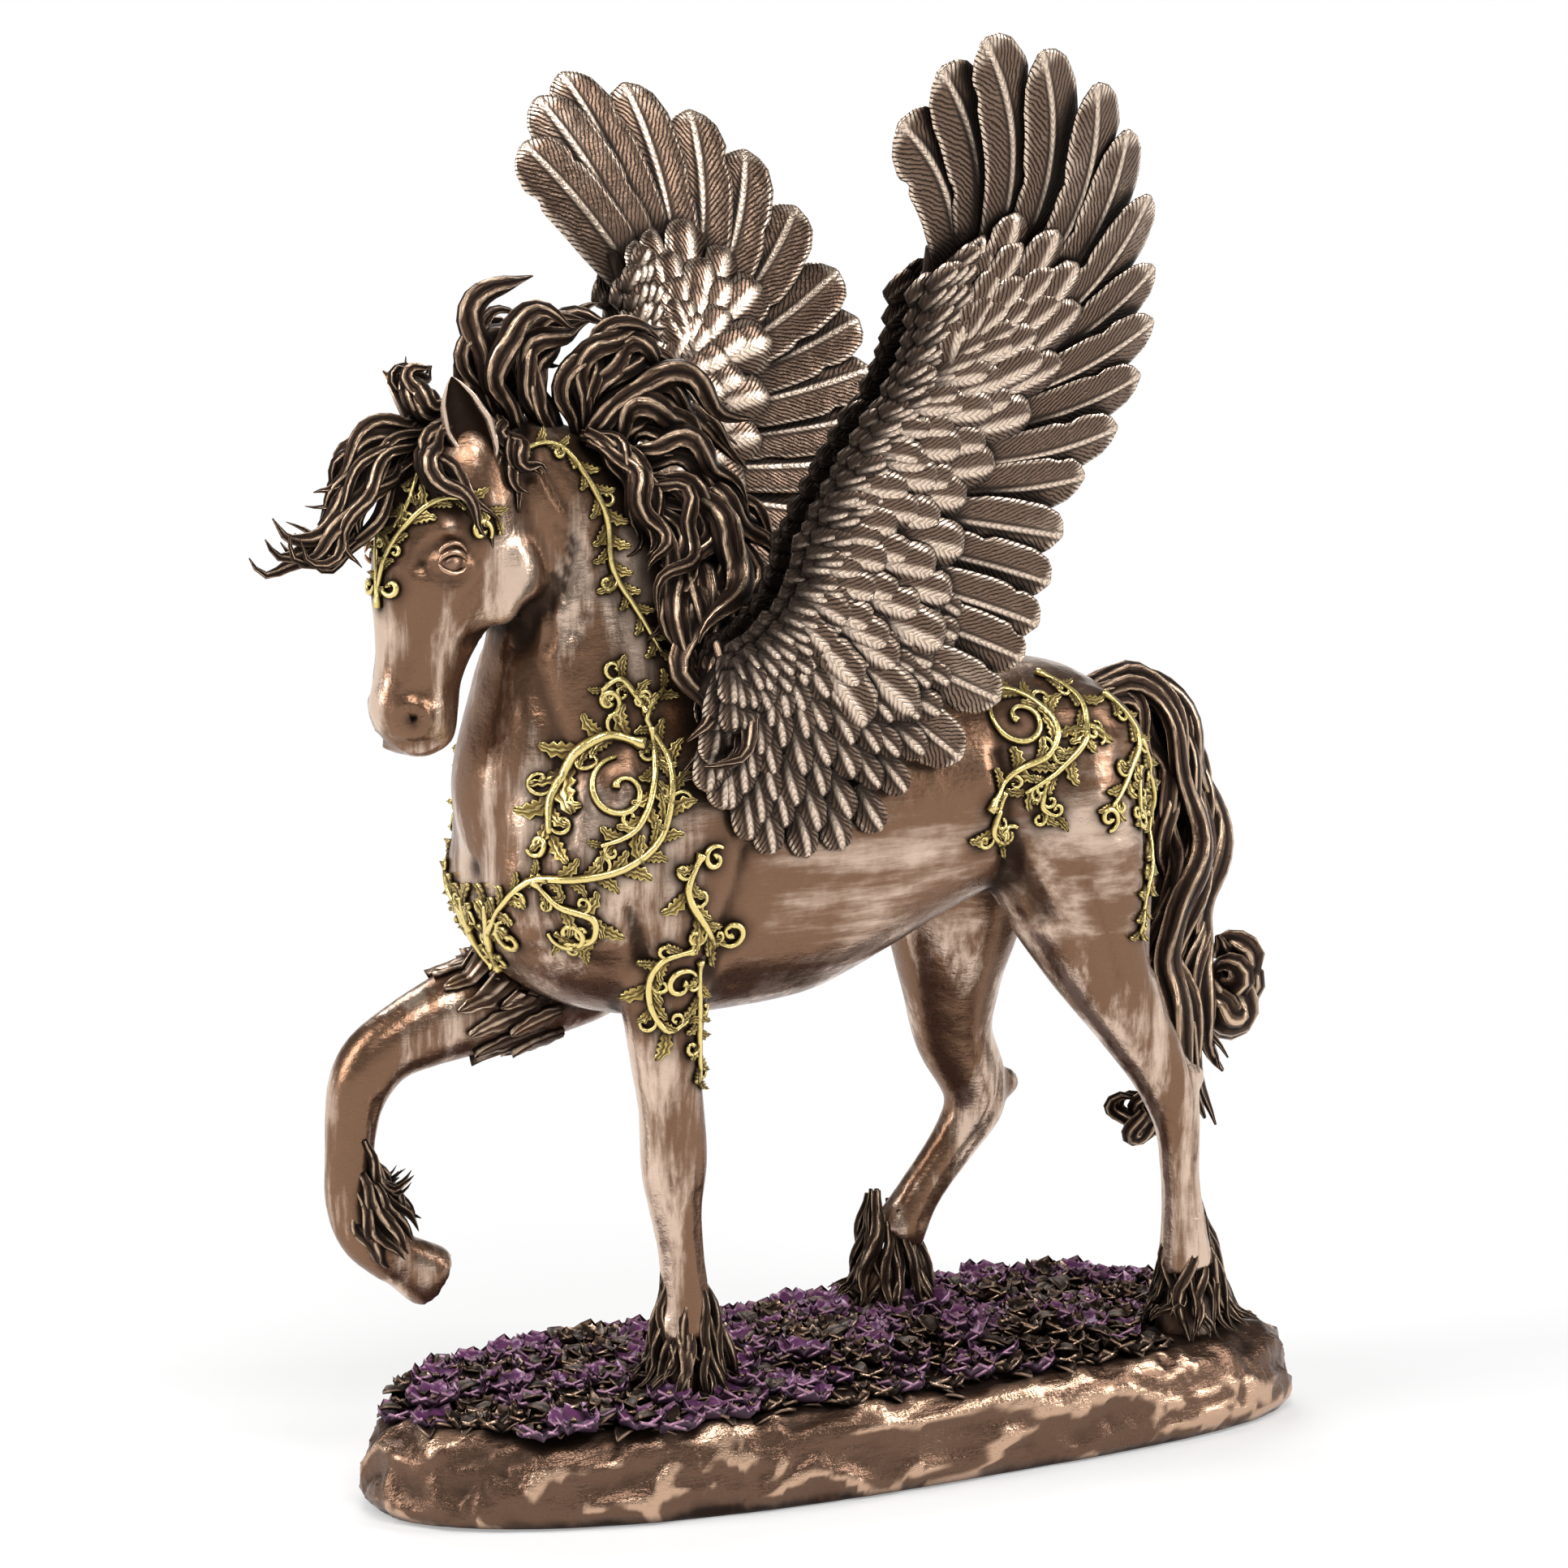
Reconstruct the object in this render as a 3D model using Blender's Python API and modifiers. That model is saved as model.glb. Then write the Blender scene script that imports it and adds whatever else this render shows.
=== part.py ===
"""Pegasus figurine: a one-piece casting of a winged horse pacing over a flowered plinth.

The horse faces -X and lifts its far foreleg. The underside of the plinth is the plane z = 0.
"""

import math
import random

import bmesh
import bpy
from mathutils import Vector, noise
from mathutils.bvhtree import BVHTree

# The tables below are in millimetres, and MM turns them into metres
MM = 0.001

# Plinth
PLINTH_LENGTH = 200 * MM
PLINTH_WIDTH = 76 * MM
PLINTH_HEIGHT = 18 * MM
PLINTH_CENTRE = (11 * MM, 2 * MM)
RIM_ROUGHNESS = 1.8 * MM
RIM_DROP = 3 * MM
GROUND_SWELL = 2.5 * MM

# Horse: widths over both sides, and girths where each limb is thickest or thinnest
BODY_WIDTH = 56 * MM
NECK_WIDTH = 48 * MM
HEAD_WIDTH = 24 * MM
EAR_LENGTH = 19 * MM
CANNON_WIDTH = 9.4 * MM
THIGH_WIDTH = 37 * MM
HOOF_WIDTH = 14.5 * MM
HOOF_LENGTH = 10 * MM

# Hair
LOCK_WIDTH = 5.6 * MM
TAIL_WIDTH = 8.4 * MM
TUFT_LENGTH = 23 * MM
TUFT_STRANDS = 11

# Wings
WING_ROOT_SPREAD = 57 * MM
WING_TIP_SPREAD = 138 * MM
WING_TIP_HEIGHT = 280 * MM
ARM_WIDTH = 8 * MM
FEATHER_THICKNESS = 2.6 * MM
FEATHER_TILT = 0.24
FLIGHT_FEATHERS = 17
FLIGHT_WIDTH = 14 * MM
COVERT_LENGTH = 22 * MM
COVERT_WIDTH = 10.5 * MM
SCALE_LENGTH = 14 * MM
SCALE_WIDTH = 9 * MM
FAR_WING_FORWARD = 14 * MM
FAR_WING_DROP = 8 * MM
FAR_WING_BEND = 0.35

# Relief carving and flowers
SCROLL_WIDTH = 2.4 * MM
SCROLL_HEIGHT = 1.4 * MM
FLOWER_WIDTH = 9.4 * MM
FLOWER_SPACING = 10.4 * MM
PETAL_RISE = 2.6 * MM
FLOWER_SEED = 11

# Surface resolution of the casting
SKIN_VOXEL = 1.2 * MM
CAST_VOXEL = 0.7 * MM
CAST_TRIANGLES = 11800

# Level of the ground in the tables, so that the horse stands on any plinth
TABLE_GROUND = 18

# Barrel stations: x, lowest z, highest z, share of the half width
BARREL = (
    (-68, 117, 134, 0.26), (-64, 106, 149, 0.58), (-51, 97, 158, 0.86), (-35, 93, 163, 0.97),
    (-15, 92.5, 163, 0.99), (5, 95, 160, 1.0), (25, 104, 157, 0.98), (45, 113, 157, 0.99),
    (60, 114, 156, 0.92), (71, 122, 150, 0.68), (77, 130, 143, 0.30),
)

# Neck stations: throat x, z, crest x, z, share of the half width
NECK = (
    (-66, 118, 0, 158, 0.98), (-71, 138, -10, 176, 0.86), (-67, 155, -24, 193, 0.70),
    (-64, 165, -37, 203, 0.60), (-62, 173, -49, 208, 0.52), (-63, 178, -58, 210, 0.50),
)

# Head stations: forehead and nose x, z, jaw x, z, share of the half width
HEAD = (
    (-72, 213, -60, 205, 0.60), (-81, 204, -57, 196, 0.88), (-88, 191, -57, 185, 1.0),
    (-90.5, 181, -60, 176, 0.92), (-90.5, 173, -68, 169, 0.68), (-90.5, 164, -73, 161, 0.57),
    (-92, 157, -74, 154.5, 0.60), (-89, 151, -75.5, 149.5, 0.52), (-85, 147.5, -80, 147.5, 0.25),
)
HEAD_TURN = math.radians(12)
POLL = (-60, 0, 205)

# Limb stations: x, y, z, width seen from the side as a share of CANNON_WIDTH or THIGH_WIDTH
NEAR_FORELEG = (
    (-36, -13, 140, 3.19), (-35.5, -16, 128, 2.87), (-35.5, -18, 117, 2.47), (-36.4, -17.5, 108, 2.13),
    (-36.0, -16.5, 98, 1.83), (-35.3, -16, 88, 1.57), (-34.0, -15.5, 78, 1.4), (-33.2, -15, 70, 1.43),
    (-32.8, -14.5, 64, 1.4), (-32.2, -14, 57, 1.15), (-30.8, -13.5, 48, 0.98), (-29.6, -13, 38, 1.06),
    (-30.2, -12.5, 31, 1.34),
)
FAR_FORELEG = (
    (-30, 11, 118, 3.19), (-33, 13, 105, 2.77), (-47, 15.5, 97, 2.34), (-63.8, 17, 92.6, 1.89),
    (-77, 18, 87.6, 1.49), (-82.5, 18.5, 82.5, 1.43), (-85.2, 18.5, 75.4, 1.19), (-85.9, 18.5, 66, 1.06),
    (-85.8, 18.5, 58, 1.11), (-82.8, 18.5, 51.6, 1.23), (-77, 18.5, 46.4, 1.23),
)
NEAR_HINDLEG = (
    (54, -13, 142, 0.92), (53, -15.5, 128, 0.99), (57, -17.5, 112, 0.88), (61.3, -19.5, 98, 0.63),
    (67.2, -21, 86, 0.43), (73.6, -21.5, 76, 0.36), (77.4, -21.5, 69, 0.33), (79.4, -21.5, 61, 0.26),
    (80.4, -21, 51, 0.23), (81.7, -20.5, 41, 0.26), (82.8, -20, 32, 0.35),
)
FAR_HINDLEG = (
    (53, 11, 130, 0.97), (48.5, 13, 112, 0.91), (48.2, 14.5, 99, 0.76), (49, 16.5, 88, 0.58),
    (51.2, 19, 76.6, 0.46), (56.4, 20, 66.5, 0.39), (57.2, 20.5, 60.5, 0.36), (52.4, 21, 53, 0.28),
    (44.0, 21, 43, 0.26), (38.8, 21.5, 34.5, 0.34),
)
# Points of the hocks: x, y, z, radius
HOCK_POINTS = ((82.5, -21.5, 71.5, 3.2), (64.5, 20.5, 64.5, 3.4))
# Hooves: top centre, then the direction down the hoof
STANDING_HOOVES = (
    ((-30.6, -11.5, 24), (-0.12, 0, -1)),
    ((83.4, -19.3, 26), (-0.06, 0, -1)),
    ((36.2, 22, 28), (-0.22, 0, -1)),
)
RAISED_HOOF = ((-77.0, 18.5, 46.0), (0.84, 0, -0.54))

# Muscle forms: x, y, z, and their half sizes along the three axes
MUSCLES = (
    (-46, -17, 128, 17, 10, 22), (-46, 16, 128, 17, 10, 22), (-38, -21, 118, 10, 7, 12),
    (58, -15, 132, 17, 13, 21), (58, 14, 132, 17, 13, 21), (-60, -9, 122, 8, 9, 14),
    (-60, 9, 122, 8, 9, 14), (-64, -8.5, 184, 8, 5, 10), (-64, 8.5, 184, 8, 5, 10),
)

# Hair locks: width share, then points x, y, z from root to tip
MANE = (
    (1.0, (-62, -3, 208), (-68, -4, 217), (-68, -3, 224), (-62, -2, 228), (-55, -1, 226)),
    (0.8, (-58, 3, 208), (-60, 4, 216), (-57, 4, 223), (-52, 3, 222)),
    (1.0, (-51, -3, 207), (-56, -5, 215), (-55, -4, 222), (-48, -3, 226), (-39, -1, 227)),
    (1.0, (-46, -4, 206), (-49, -6, 215), (-46, -5, 222), (-39, -4, 225), (-32, -2, 222)),
    (0.9, (-44, -3, 205), (-41, -4, 216), (-36, -4, 221), (-29, -3, 219), (-24, -2, 213)),
    (0.9, (-41, -6, 202), (-39, -9, 209), (-33, -10, 211), (-26, -8, 207), (-21, -6, 203)),
    (0.9, (-40, -7, 200), (-34, -12, 204), (-27, -13, 202), (-20, -12, 195), (-16, -11, 191)),
    (0.8, (-48, -9, 206), (-43, -13, 203), (-40, -16, 195), (-38, -18, 188), (-41, -19, 183)),
    (0.9, (-40, -12, 197), (-32, -18, 195), (-30, -20, 187), (-36, -21, 179), (-40, -22, 173)),
    (1.0, (-36, -11, 194), (-26, -17, 190), (-22, -19, 181), (-28, -21, 173), (-33, -23, 166)),
    (1.0, (-35, -13, 188), (-30, -20, 178), (-30, -24, 167), (-33, -27, 160), (-29, -30, 152),
     (-33, -32, 146)),
    (0.9, (-33, -9, 195), (-23, -13, 194), (-15, -14, 187), (-9, -15, 180)),
    (0.9, (-34, -12, 184), (-26, -18, 176), (-20, -21, 166), (-24, -24, 158)),
    (0.9, (-30, -8, 186), (-18, -14, 180), (-12, -16, 170), (-17, -20, 161)),
    (1.0, (-50, 8, 205), (-44, 14, 200), (-42, 18, 190), (-46, 19, 180), (-44, 21, 172)),
    (1.0, (-42, 9, 200), (-34, 16, 194), (-31, 19, 184), (-35, 22, 175), (-33, 24, 165)),
    (1.0, (-34, 8, 194), (-25, 14, 188), (-21, 18, 178), (-25, 21, 168), (-22, 24, 158)),
    (0.9, (-28, 6, 188), (-18, 11, 183), (-12, 14, 174), (-16, 18, 165)),
)
FORELOCK = (
    (0.65, (-76, -2, 209), (-86, -4, 209), (-94, -5, 204), (-98, -5, 197), (-101, -4, 195)),
    (0.65, (-78, -3, 208), (-88, -6, 205), (-95, -7, 197), (-97, -6, 190), (-94, -4, 186)),
    (0.65, (-80, -4, 206), (-90, -7, 197), (-96, -6, 188), (-101, -5, 185), (-105, -4, 188)),
    (0.7, (-74, -6, 211), (-82, -10, 205), (-79, -13, 199), (-74, -14, 194), (-72, -14, 190)),
    (0.7, (-72, -3, 211), (-79, -3, 213), (-81, -1, 217), (-77, 0, 219)),
    (0.7, (-66, -6, 209), (-67, -10, 205), (-65, -12, 200), (-62, -13, 196)),
    (0.8, (-78, 4, 209), (-88, 5, 204), (-91, 6, 197), (-90, 6, 191)),
)
TAIL = (
    (1.0, (70, -1, 147), (78, -2, 147), (83, -3, 137), (86, -3, 124), (87, -3, 110), (86, -2, 98),
     (84, -1, 88)),
    (1.0, (72, 0, 148), (81, -2, 150), (89, -4, 142), (93, -5, 130), (94, -6, 115), (91, -6, 102),
     (88, -5, 92), (91, -6, 80), (95, -6, 69), (97, -6, 60)),
    (1.0, (71, 0, 149), (83, 0, 151), (93, 0, 142), (98, 0, 128), (99, 0, 113), (97, 0, 100),
     (94, 0, 90), (98, 0, 79), (101, -1, 70)),
    (1.0, (71, 2, 148), (83, 4, 149), (91, 5, 138), (95, 6, 124), (96, 6, 110), (94, 6, 96),
     (93, 7, 84), (97, 8, 72)),
    (0.7, (97, 4, 86), (104, 6, 81), (110, 6, 82), (113, 5, 86), (108, 4, 88)),
    (0.6, (98, 6, 74), (97, 8, 64), (93, 8, 54), (88, 8, 53), (87, 8, 58), (90, 8, 60)),
)

# Wing fan: x, z where a feather leaves the arm, x, z of its tip, and its bend at the middle
WING_FAN = (
    (7, 227, -12, 265, -6), (8, 226, -7, 273, -7), (9, 226, -2, 280, -9), (9, 225, 9, 279, -10),
    (10, 224, 24, 275, -11), (9, 222, 34, 267, -11), (8, 220, 43, 258, -10), (6, 217, 50, 242, -7),
    (5, 213, 53, 231, -5), (2, 210, 54, 221, -5), (-1, 205, 52, 209, -4), (-4, 200, 46, 201, -4),
    (-6, 195, 41, 188, 0), (-8, 189, 40, 178, 1), (-10, 183, 38, 169, 1), (-11, 178, 36, 162, 1),
    (-12, 173, 31, 154, 0), (-14, 169, 23, 142, 0), (-18, 167, 8, 131, 0), (-23, 165, -8, 125, 0),
    (-29, 162, -22, 128, 0), (-33, 158, -34, 138, 0),
)
# Arm of the wing, from the wrist down to the shoulder: x, z
WING_ARM = (
    (1, 242), (2, 233), (2, 224), (-1, 215), (-5, 207), (-9, 199), (-12, 191), (-14, 183), (-16, 175),
    (-21, 168), (-28, 163), (-33, 157),
)
WING_FAN_FOOT = 140
TABLE_TOP = 280
FLIGHT_SHARE = 0.81
SCALE_SHARE = 0.76
# How far the longest coverts reach along a fan line: share of the fan, share of the line
COVERT_REACH = ((0, 0.28), (0.1, 0.36), (0.3, 0.6), (0.4, 0.48), (0.55, 0.46), (0.8, 0.64), (1.0, 0.9))
# Covert rows: share of that reach, feathers, share of the covert length, lift in feathers
COVERT_ROWS = ((1.0, 19, 1.0, 0.7), (0.72, 18, 0.85, 1.3), (0.44, 17, 0.7, 1.8), (0.18, 16, 0.6, 2.2))
# Rows of short scale feathers that carry the wing down over the shoulder and flank
SCALE_ROWS = ((1.0, 8, 0.3), (0.78, 8, 0.8), (0.56, 8, 1.3), (0.34, 8, 1.8), (0.14, 8, 2.3))

# Relief stems on the near side, mirrored to the far side: width share, then points x, y, z
BODY_STEMS = (
    (1.1, (-65, -3, 112), (-66, -10, 118), (-65, -17, 124), (-57, -24, 125), (-49, -27, 127),
     (-42, -26, 132), (-39, -25, 140), (-39, -24, 147), (-42, -21, 154), (-38, -20, 159)),
    (1.0, (-41, -21, 152), (-42, -24, 143), (-47, -26, 134), (-54, -25, 131)),
    (1.5, (-43, -22, 149), (-50, -21, 151), (-57, -19, 147), (-61, -18, 140), (-61, -19, 133)),
    (0.9, (-42, -21, 155), (-46, -19, 161), (-50, -18, 159)),
    (1.0, (-64, -17, 124), (-60, -20, 120), (-55, -24, 117), (-55, -23, 112), (-59, -19, 111)),
    (1.2, (-63, -1, 105), (-66, -4, 112), (-67, -5, 118)),
    (1.1, (-34, -27, 128), (-37, -28, 121), (-33, -27, 114), (-29, -25, 109)),
    (1.0, (30, -27, 131), (36, -27, 138), (44, -27, 141), (47, -25, 147), (42, -19, 153), (34, -17, 156)),
    (1.0, (50, -13, 155), (55, -20, 150), (53, -26, 144), (46, -28, 138), (38, -28, 134)),
    (0.9, (34, -27, 134), (31, -27, 127), (34, -27, 124)),
    (0.8, (43, -28, 136), (42, -28, 131), (45, -28, 129)),
    (1.0, (61, -20, 151), (67, -25, 143), (62, -28, 136), (56, -30, 130)),
    (0.9, (67, -24, 142), (71, -22, 131), (70, -24, 120), (67, -27, 112), (64, -29, 104)),
    (0.8, (66, -26, 137), (65, -28, 129), (68, -27, 128)),
    (0.9, (-63, -9, 204), (-54, -9, 205), (-49, -11, 198), (-46, -14, 190), (-46, -16, 182),
     (-42, -18, 174), (-38, -20, 166)),
)
NEAR_LEG_STEMS = (
    (1.0, (-35, -26, 110), (-41, -25, 108), (-43, -23, 101), (-39, -23, 94), (-35, -22, 96)),
    (0.9, (-34, -24, 108), (-33, -22, 99), (-32, -21, 91), (-31, -20, 83)),
)
# Relief stems of the head, mirrored about its middle before it is turned
HEAD_STEMS = (
    (0.8, (-91, 0, 176), (-91, -1, 184), (-88, -4, 191), (-84, -8, 196), (-78, -11, 196), (-72, -12, 192)),
    (0.7, (-85, -3, 203), (-88, -4, 197), (-89, -2, 191)),
)
# Relief curls: middle x, y, z, radius, turns, starting angle
BODY_CURLS = (
    (-49, -24, 141, 6.8, 1.2, 20), (-49, -19, 157, 2.6, 1.2, 200), (-64, -10, 113, 3.8, 1.0, 90),
    (-58, -20, 114, 4.4, 1.0, 0), (-64, -18, 131, 2.4, 1.1, 300), (-31, -26, 127, 2.6, 1.2, 60),
    (-26, -25, 112, 3.0, 1.2, 250), (40, -22, 147, 6.6, 1.2, 330), (54, -26, 143, 3.0, 1.2, 180),
    (36, -27, 125, 2.2, 1.1, 90), (55, -30, 128, 2.6, 1.2, 200), (66, -28, 127, 2.4, 1.1, 0),
)
NEAR_LEG_CURLS = ((-37, -25, 103, 3.4, 1.1, 120),)
HEAD_CURLS = ((-90, -3, 180, 1.9, 1.0, 0), (-76, -12, 190, 2.4, 1.1, 180))


def place(x, y, z):
    """Turn a point of the tables into metres, with the horse standing on the plinth."""
    return Vector((x * MM, y * MM, (z - TABLE_GROUND) * MM + PLINTH_HEIGHT))


def clear_scene():
    """Remove what a new file holds."""
    for item in list(bpy.data.objects):
        bpy.data.objects.remove(item, do_unlink=True)


def new_collection(name):
    """Make a collection under the scene's own."""
    made = bpy.data.collections.new(name)
    bpy.context.scene.collection.children.link(made)
    return made


def bronze():
    """Antique bronze finish of the casting."""
    made = bpy.data.materials.new("antique_bronze")
    made.use_nodes = True
    shader = made.node_tree.nodes["Principled BSDF"]
    shader.inputs["Base Color"].default_value = (0.33, 0.19, 0.12, 1)
    shader.inputs["Metallic"].default_value = 0.85
    shader.inputs["Roughness"].default_value = 0.36
    return made


def oval(centre, across, along, sides=20, power=1.0):
    """Ring of points round a centre: a power under one squares the oval off."""
    ring = []
    for step in range(sides):
        angle = math.tau * step / sides
        c, s = math.cos(angle), math.sin(angle)
        ring.append(centre + across * math.copysign(abs(c) ** power, c)
                    + along * math.copysign(abs(s) ** power, s))
    return ring


def loft(work, rings):
    """Skin a row of rings and close both ends, as one body in the working mesh."""
    rows = [[work.verts.new(point) for point in ring] for ring in rings]
    count = len(rows[0])
    faces = []
    for low, high in zip(rows, rows[1:]):
        for step in range(count):
            after = (step + 1) % count
            faces.append(work.faces.new((low[step], low[after], high[after], high[step])))
    faces.append(work.faces.new(tuple(reversed(rows[0]))))
    faces.append(work.faces.new(tuple(rows[-1])))
    bmesh.ops.recalc_face_normals(work, faces=faces)


def ball(work, centre, size, detail=2):
    """Add a ball with its own half sizes along the axes."""
    made = bmesh.ops.create_icosphere(work, subdivisions=detail, radius=1)
    for vert in made["verts"]:
        vert.co = Vector((vert.co.x * size[0], vert.co.y * size[1], vert.co.z * size[2])) + centre


def smooth_path(points, steps=4):
    """Run a smooth curve through the points."""
    path = []
    for index in range(len(points) - 1):
        before = points[max(index - 1, 0)]
        start, end = points[index], points[index + 1]
        after = points[min(index + 2, len(points) - 1)]
        for step in range(steps):
            t = step / steps
            path.append(0.5 * ((2 * start) + (end - before) * t
                               + (2 * before - 5 * start + 4 * end - after) * t ** 2
                               + (3 * start - 3 * end + after - before) * t ** 3))
    path.append(points[-1].copy())
    return path


def limb(work, stations, width, flatness=0.86):
    """Loft a leg along its stations, a little flatter from side to side than it is deep."""
    points = smooth_path([place(x, y, z) for x, y, z, _ in stations])
    halves = smooth_path([Vector((width / 2 * share, 0, 0)) for _, _, _, share in stations])
    rings = []
    for index, point in enumerate(points):
        ahead = points[min(index + 1, len(points) - 1)] - points[max(index - 1, 0)]
        fore = ahead.cross(Vector((0, 1, 0))).normalized()
        side = fore.cross(ahead).normalized()
        half = halves[index].x
        rings.append(oval(point, fore * half, side * half * flatness, sides=16))
    loft(work, rings)


def hoof(work, top, direction):
    """Flared hoof with a flat sole."""
    down = Vector(direction).normalized()
    side = Vector((0, 1, 0))
    fore = side.cross(down).normalized()
    start = place(*top)
    half = HOOF_WIDTH / 2
    rings = []
    for share, size in ((-0.35, 0.55), (0.0, 0.70), (0.5, 0.80), (1.0, 0.90), (1.08, 0.86)):
        rings.append(oval(start + down * HOOF_LENGTH * share, fore * half * size, side * half * size * 0.94))
    loft(work, rings)


def turn_head(point):
    """Turn a point of the head about the poll, towards the near side."""
    pivot = place(*POLL)
    offset = point - pivot
    c, s = math.cos(HEAD_TURN), math.sin(HEAD_TURN)
    return pivot + Vector((offset.x * c - offset.y * s, offset.x * s + offset.y * c, offset.z))


def barrel(work):
    """Barrel of the body from the point of the chest to the buttocks."""
    rings = []
    for x, low, high, share in BARREL:
        centre = place(x, 0, (low + high) / 2)
        rings.append(oval(centre, Vector((0, BODY_WIDTH / 2 * share, 0)),
                          Vector((0, 0, (high - low) / 2 * MM)), sides=28, power=0.92))
    loft(work, rings)


def slanted(work, stations, width, turn=None):
    """Loft the neck or the head through front and back points of its outline."""
    rings = []
    for front_x, front_z, back_x, back_z, share in stations:
        front, back = place(front_x, 0, front_z), place(back_x, 0, back_z)
        ring = oval((front + back) / 2, (front - back) / 2, Vector((0, width / 2 * share, 0)), sides=24)
        rings.append([turn(point) for point in ring] if turn else ring)
    loft(work, rings)


def ears(work):
    """Two leaf-shaped ears, pricked forward."""
    for side in (-1, 1):
        root = turn_head(place(-72, side * 8, 203))
        tip = root + Vector((-0.54, side * 0.1, 0.84)).normalized() * EAR_LENGTH
        rings = []
        for share, half in ((0.0, 3.4), (0.35, 4.6), (0.7, 3.4), (0.98, 1.0)):
            rings.append(oval(root.lerp(tip, share), Vector((half * MM, 0, 0)),
                              Vector((0, half * 0.75 * MM, 0)), sides=10))
        loft(work, rings)


def face_details(work):
    """Eyes, brow and nostrils of the head."""
    for side in (-1, 1):
        ball(work, turn_head(place(-81.5, side * 10.0, 185.5)), (3.4 * MM, 2.2 * MM, 2.6 * MM))
        ball(work, turn_head(place(-79.5, side * 9.2, 190.5)), (5.0 * MM, 2.6 * MM, 2.4 * MM))
        ball(work, turn_head(place(-87, side * 6.0, 155.5)), (2.8 * MM, 2.0 * MM, 3.2 * MM))


def horse_skin(work):
    """All the smooth forms of the horse, as overlapping bodies."""
    barrel(work)
    slanted(work, NECK, NECK_WIDTH)
    slanted(work, HEAD, HEAD_WIDTH, turn_head)
    ears(work)
    face_details(work)
    for stations in (NEAR_FORELEG, FAR_FORELEG):
        limb(work, stations, CANNON_WIDTH)
    for stations in (NEAR_HINDLEG, FAR_HINDLEG):
        limb(work, stations, THIGH_WIDTH)
    for x, y, z, radius in HOCK_POINTS:
        ball(work, place(x, y, z), (radius * MM, radius * 0.8 * MM, radius * MM))
    for top, direction in STANDING_HOOVES:
        hoof(work, top, direction)
    hoof(work, *RAISED_HOOF)
    for x, y, z, a, b, c in MUSCLES:
        ball(work, place(x, y, z), (a * MM, b * MM, c * MM), detail=3)


def finished_mesh(name, work):
    """Turn a working mesh into an object mesh."""
    mesh = bpy.data.meshes.new(name)
    work.to_mesh(mesh)
    work.free()
    return mesh


def evaluated(item):
    """Mesh of an object with its modifiers applied."""
    bpy.context.view_layer.update()
    graph = bpy.context.evaluated_depsgraph_get()
    return bpy.data.meshes.new_from_object(item.evaluated_get(graph))


def remeshed(name, mesh, voxel, smoothing):
    """Fuse overlapping bodies into one skin and soften it."""
    item = bpy.data.objects.new(name, mesh)
    bpy.context.scene.collection.objects.link(item)
    fuse = item.modifiers.new("fuse", "REMESH")
    fuse.mode = "VOXEL"
    fuse.voxel_size = voxel
    if smoothing:
        soften = item.modifiers.new("soften", "SMOOTH")
        soften.factor = 0.5
        soften.iterations = smoothing
    made = evaluated(item)
    bpy.data.objects.remove(item, do_unlink=True)
    return made


def hair_curve(name, locks, width, taper=0.35):
    """Round tapered locks, each a spline of one curve object."""
    data = bpy.data.curves.new(name, "CURVE")
    data.dimensions = "3D"
    data.bevel_depth = width / 2
    data.bevel_resolution = 2
    data.use_fill_caps = True
    for share, *points in locks:
        path = smooth_path([place(*point) for point in points])
        spline = data.splines.new("POLY")
        spline.points.add(len(path) - 1)
        last = len(path) - 1
        for index, point in enumerate(path):
            spline.points[index].co = (*point, 1)
            along = index / last
            swell = math.sin(math.pi * (0.25 + 0.7 * along))
            spline.points[index].radius = share * (taper + (1 - taper) * swell)
    return data


def add_curve(work, data):
    """Add a curve's tubes to the working mesh as closed bodies."""
    item = bpy.data.objects.new(data.name, data)
    bpy.context.scene.collection.objects.link(item)
    mesh = evaluated(item)
    matrix = item.matrix_world.copy()
    bpy.data.objects.remove(item, do_unlink=True)
    extra = bmesh.new()
    extra.from_mesh(mesh)
    extra.transform(matrix)
    bmesh.ops.remove_doubles(extra, verts=extra.verts, dist=0.00001)
    extra.to_mesh(mesh)
    extra.free()
    work.from_mesh(mesh)
    bpy.data.meshes.remove(mesh)


def tufts(work):
    """Long hair that fans from each fetlock over the hoof to the ground."""
    locks = []
    feet = ((-30.2, -12, 1.0), (83.2, -19.5, 1.0), (36.5, 21.8, 1.05))
    length = TUFT_LENGTH / MM
    for x, y, size in feet:
        for step in range(TUFT_STRANDS):
            angle = math.tau * step / TUFT_STRANDS + x
            c, s = math.cos(angle), math.sin(angle)
            back = 1.0 + 0.25 * max(c, 0)
            locks.append((0.62, (x + 3.4 * c, y + 3.2 * s, 17 + length),
                          (x + 6.4 * size * c, y + 5.8 * size * s, 17 + length * 0.6),
                          (x + 8.4 * size * back * c, y + 8.0 * size * s, 17 + length * 0.25),
                          (x + 10.6 * size * back * c, y + 10.0 * size * s, 17)))
    for step in range(5):
        y = 18.5 + (step - 2) * 2.2
        lift = step % 2
        locks.append((0.7, (-84, y, 66 - lift), (-79.5, y, 59 - lift), (-74.5 + lift, y, 60.5 - 2 * lift)))
        locks.append((0.7, (-84, y, 58), (-79, y, 54), (-76 + lift, y, 52 + lift)))
    for step in range(6):
        y = 18.5 + (step - 2.5) * 3.0
        rise = abs(step - 2.5)
        locks.append((0.8, (-54, y, 108 - rise), (-57, y, 98), (-55, y * 1.02, 89 + rise)))
    add_curve(work, hair_curve("tufts", locks, LOCK_WIDTH))


def hair(work):
    """Mane, forelock and tail."""
    add_curve(work, hair_curve("mane", MANE + FORELOCK, LOCK_WIDTH * 1.25))
    add_curve(work, hair_curve("tail", TAIL, TAIL_WIDTH))


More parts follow.
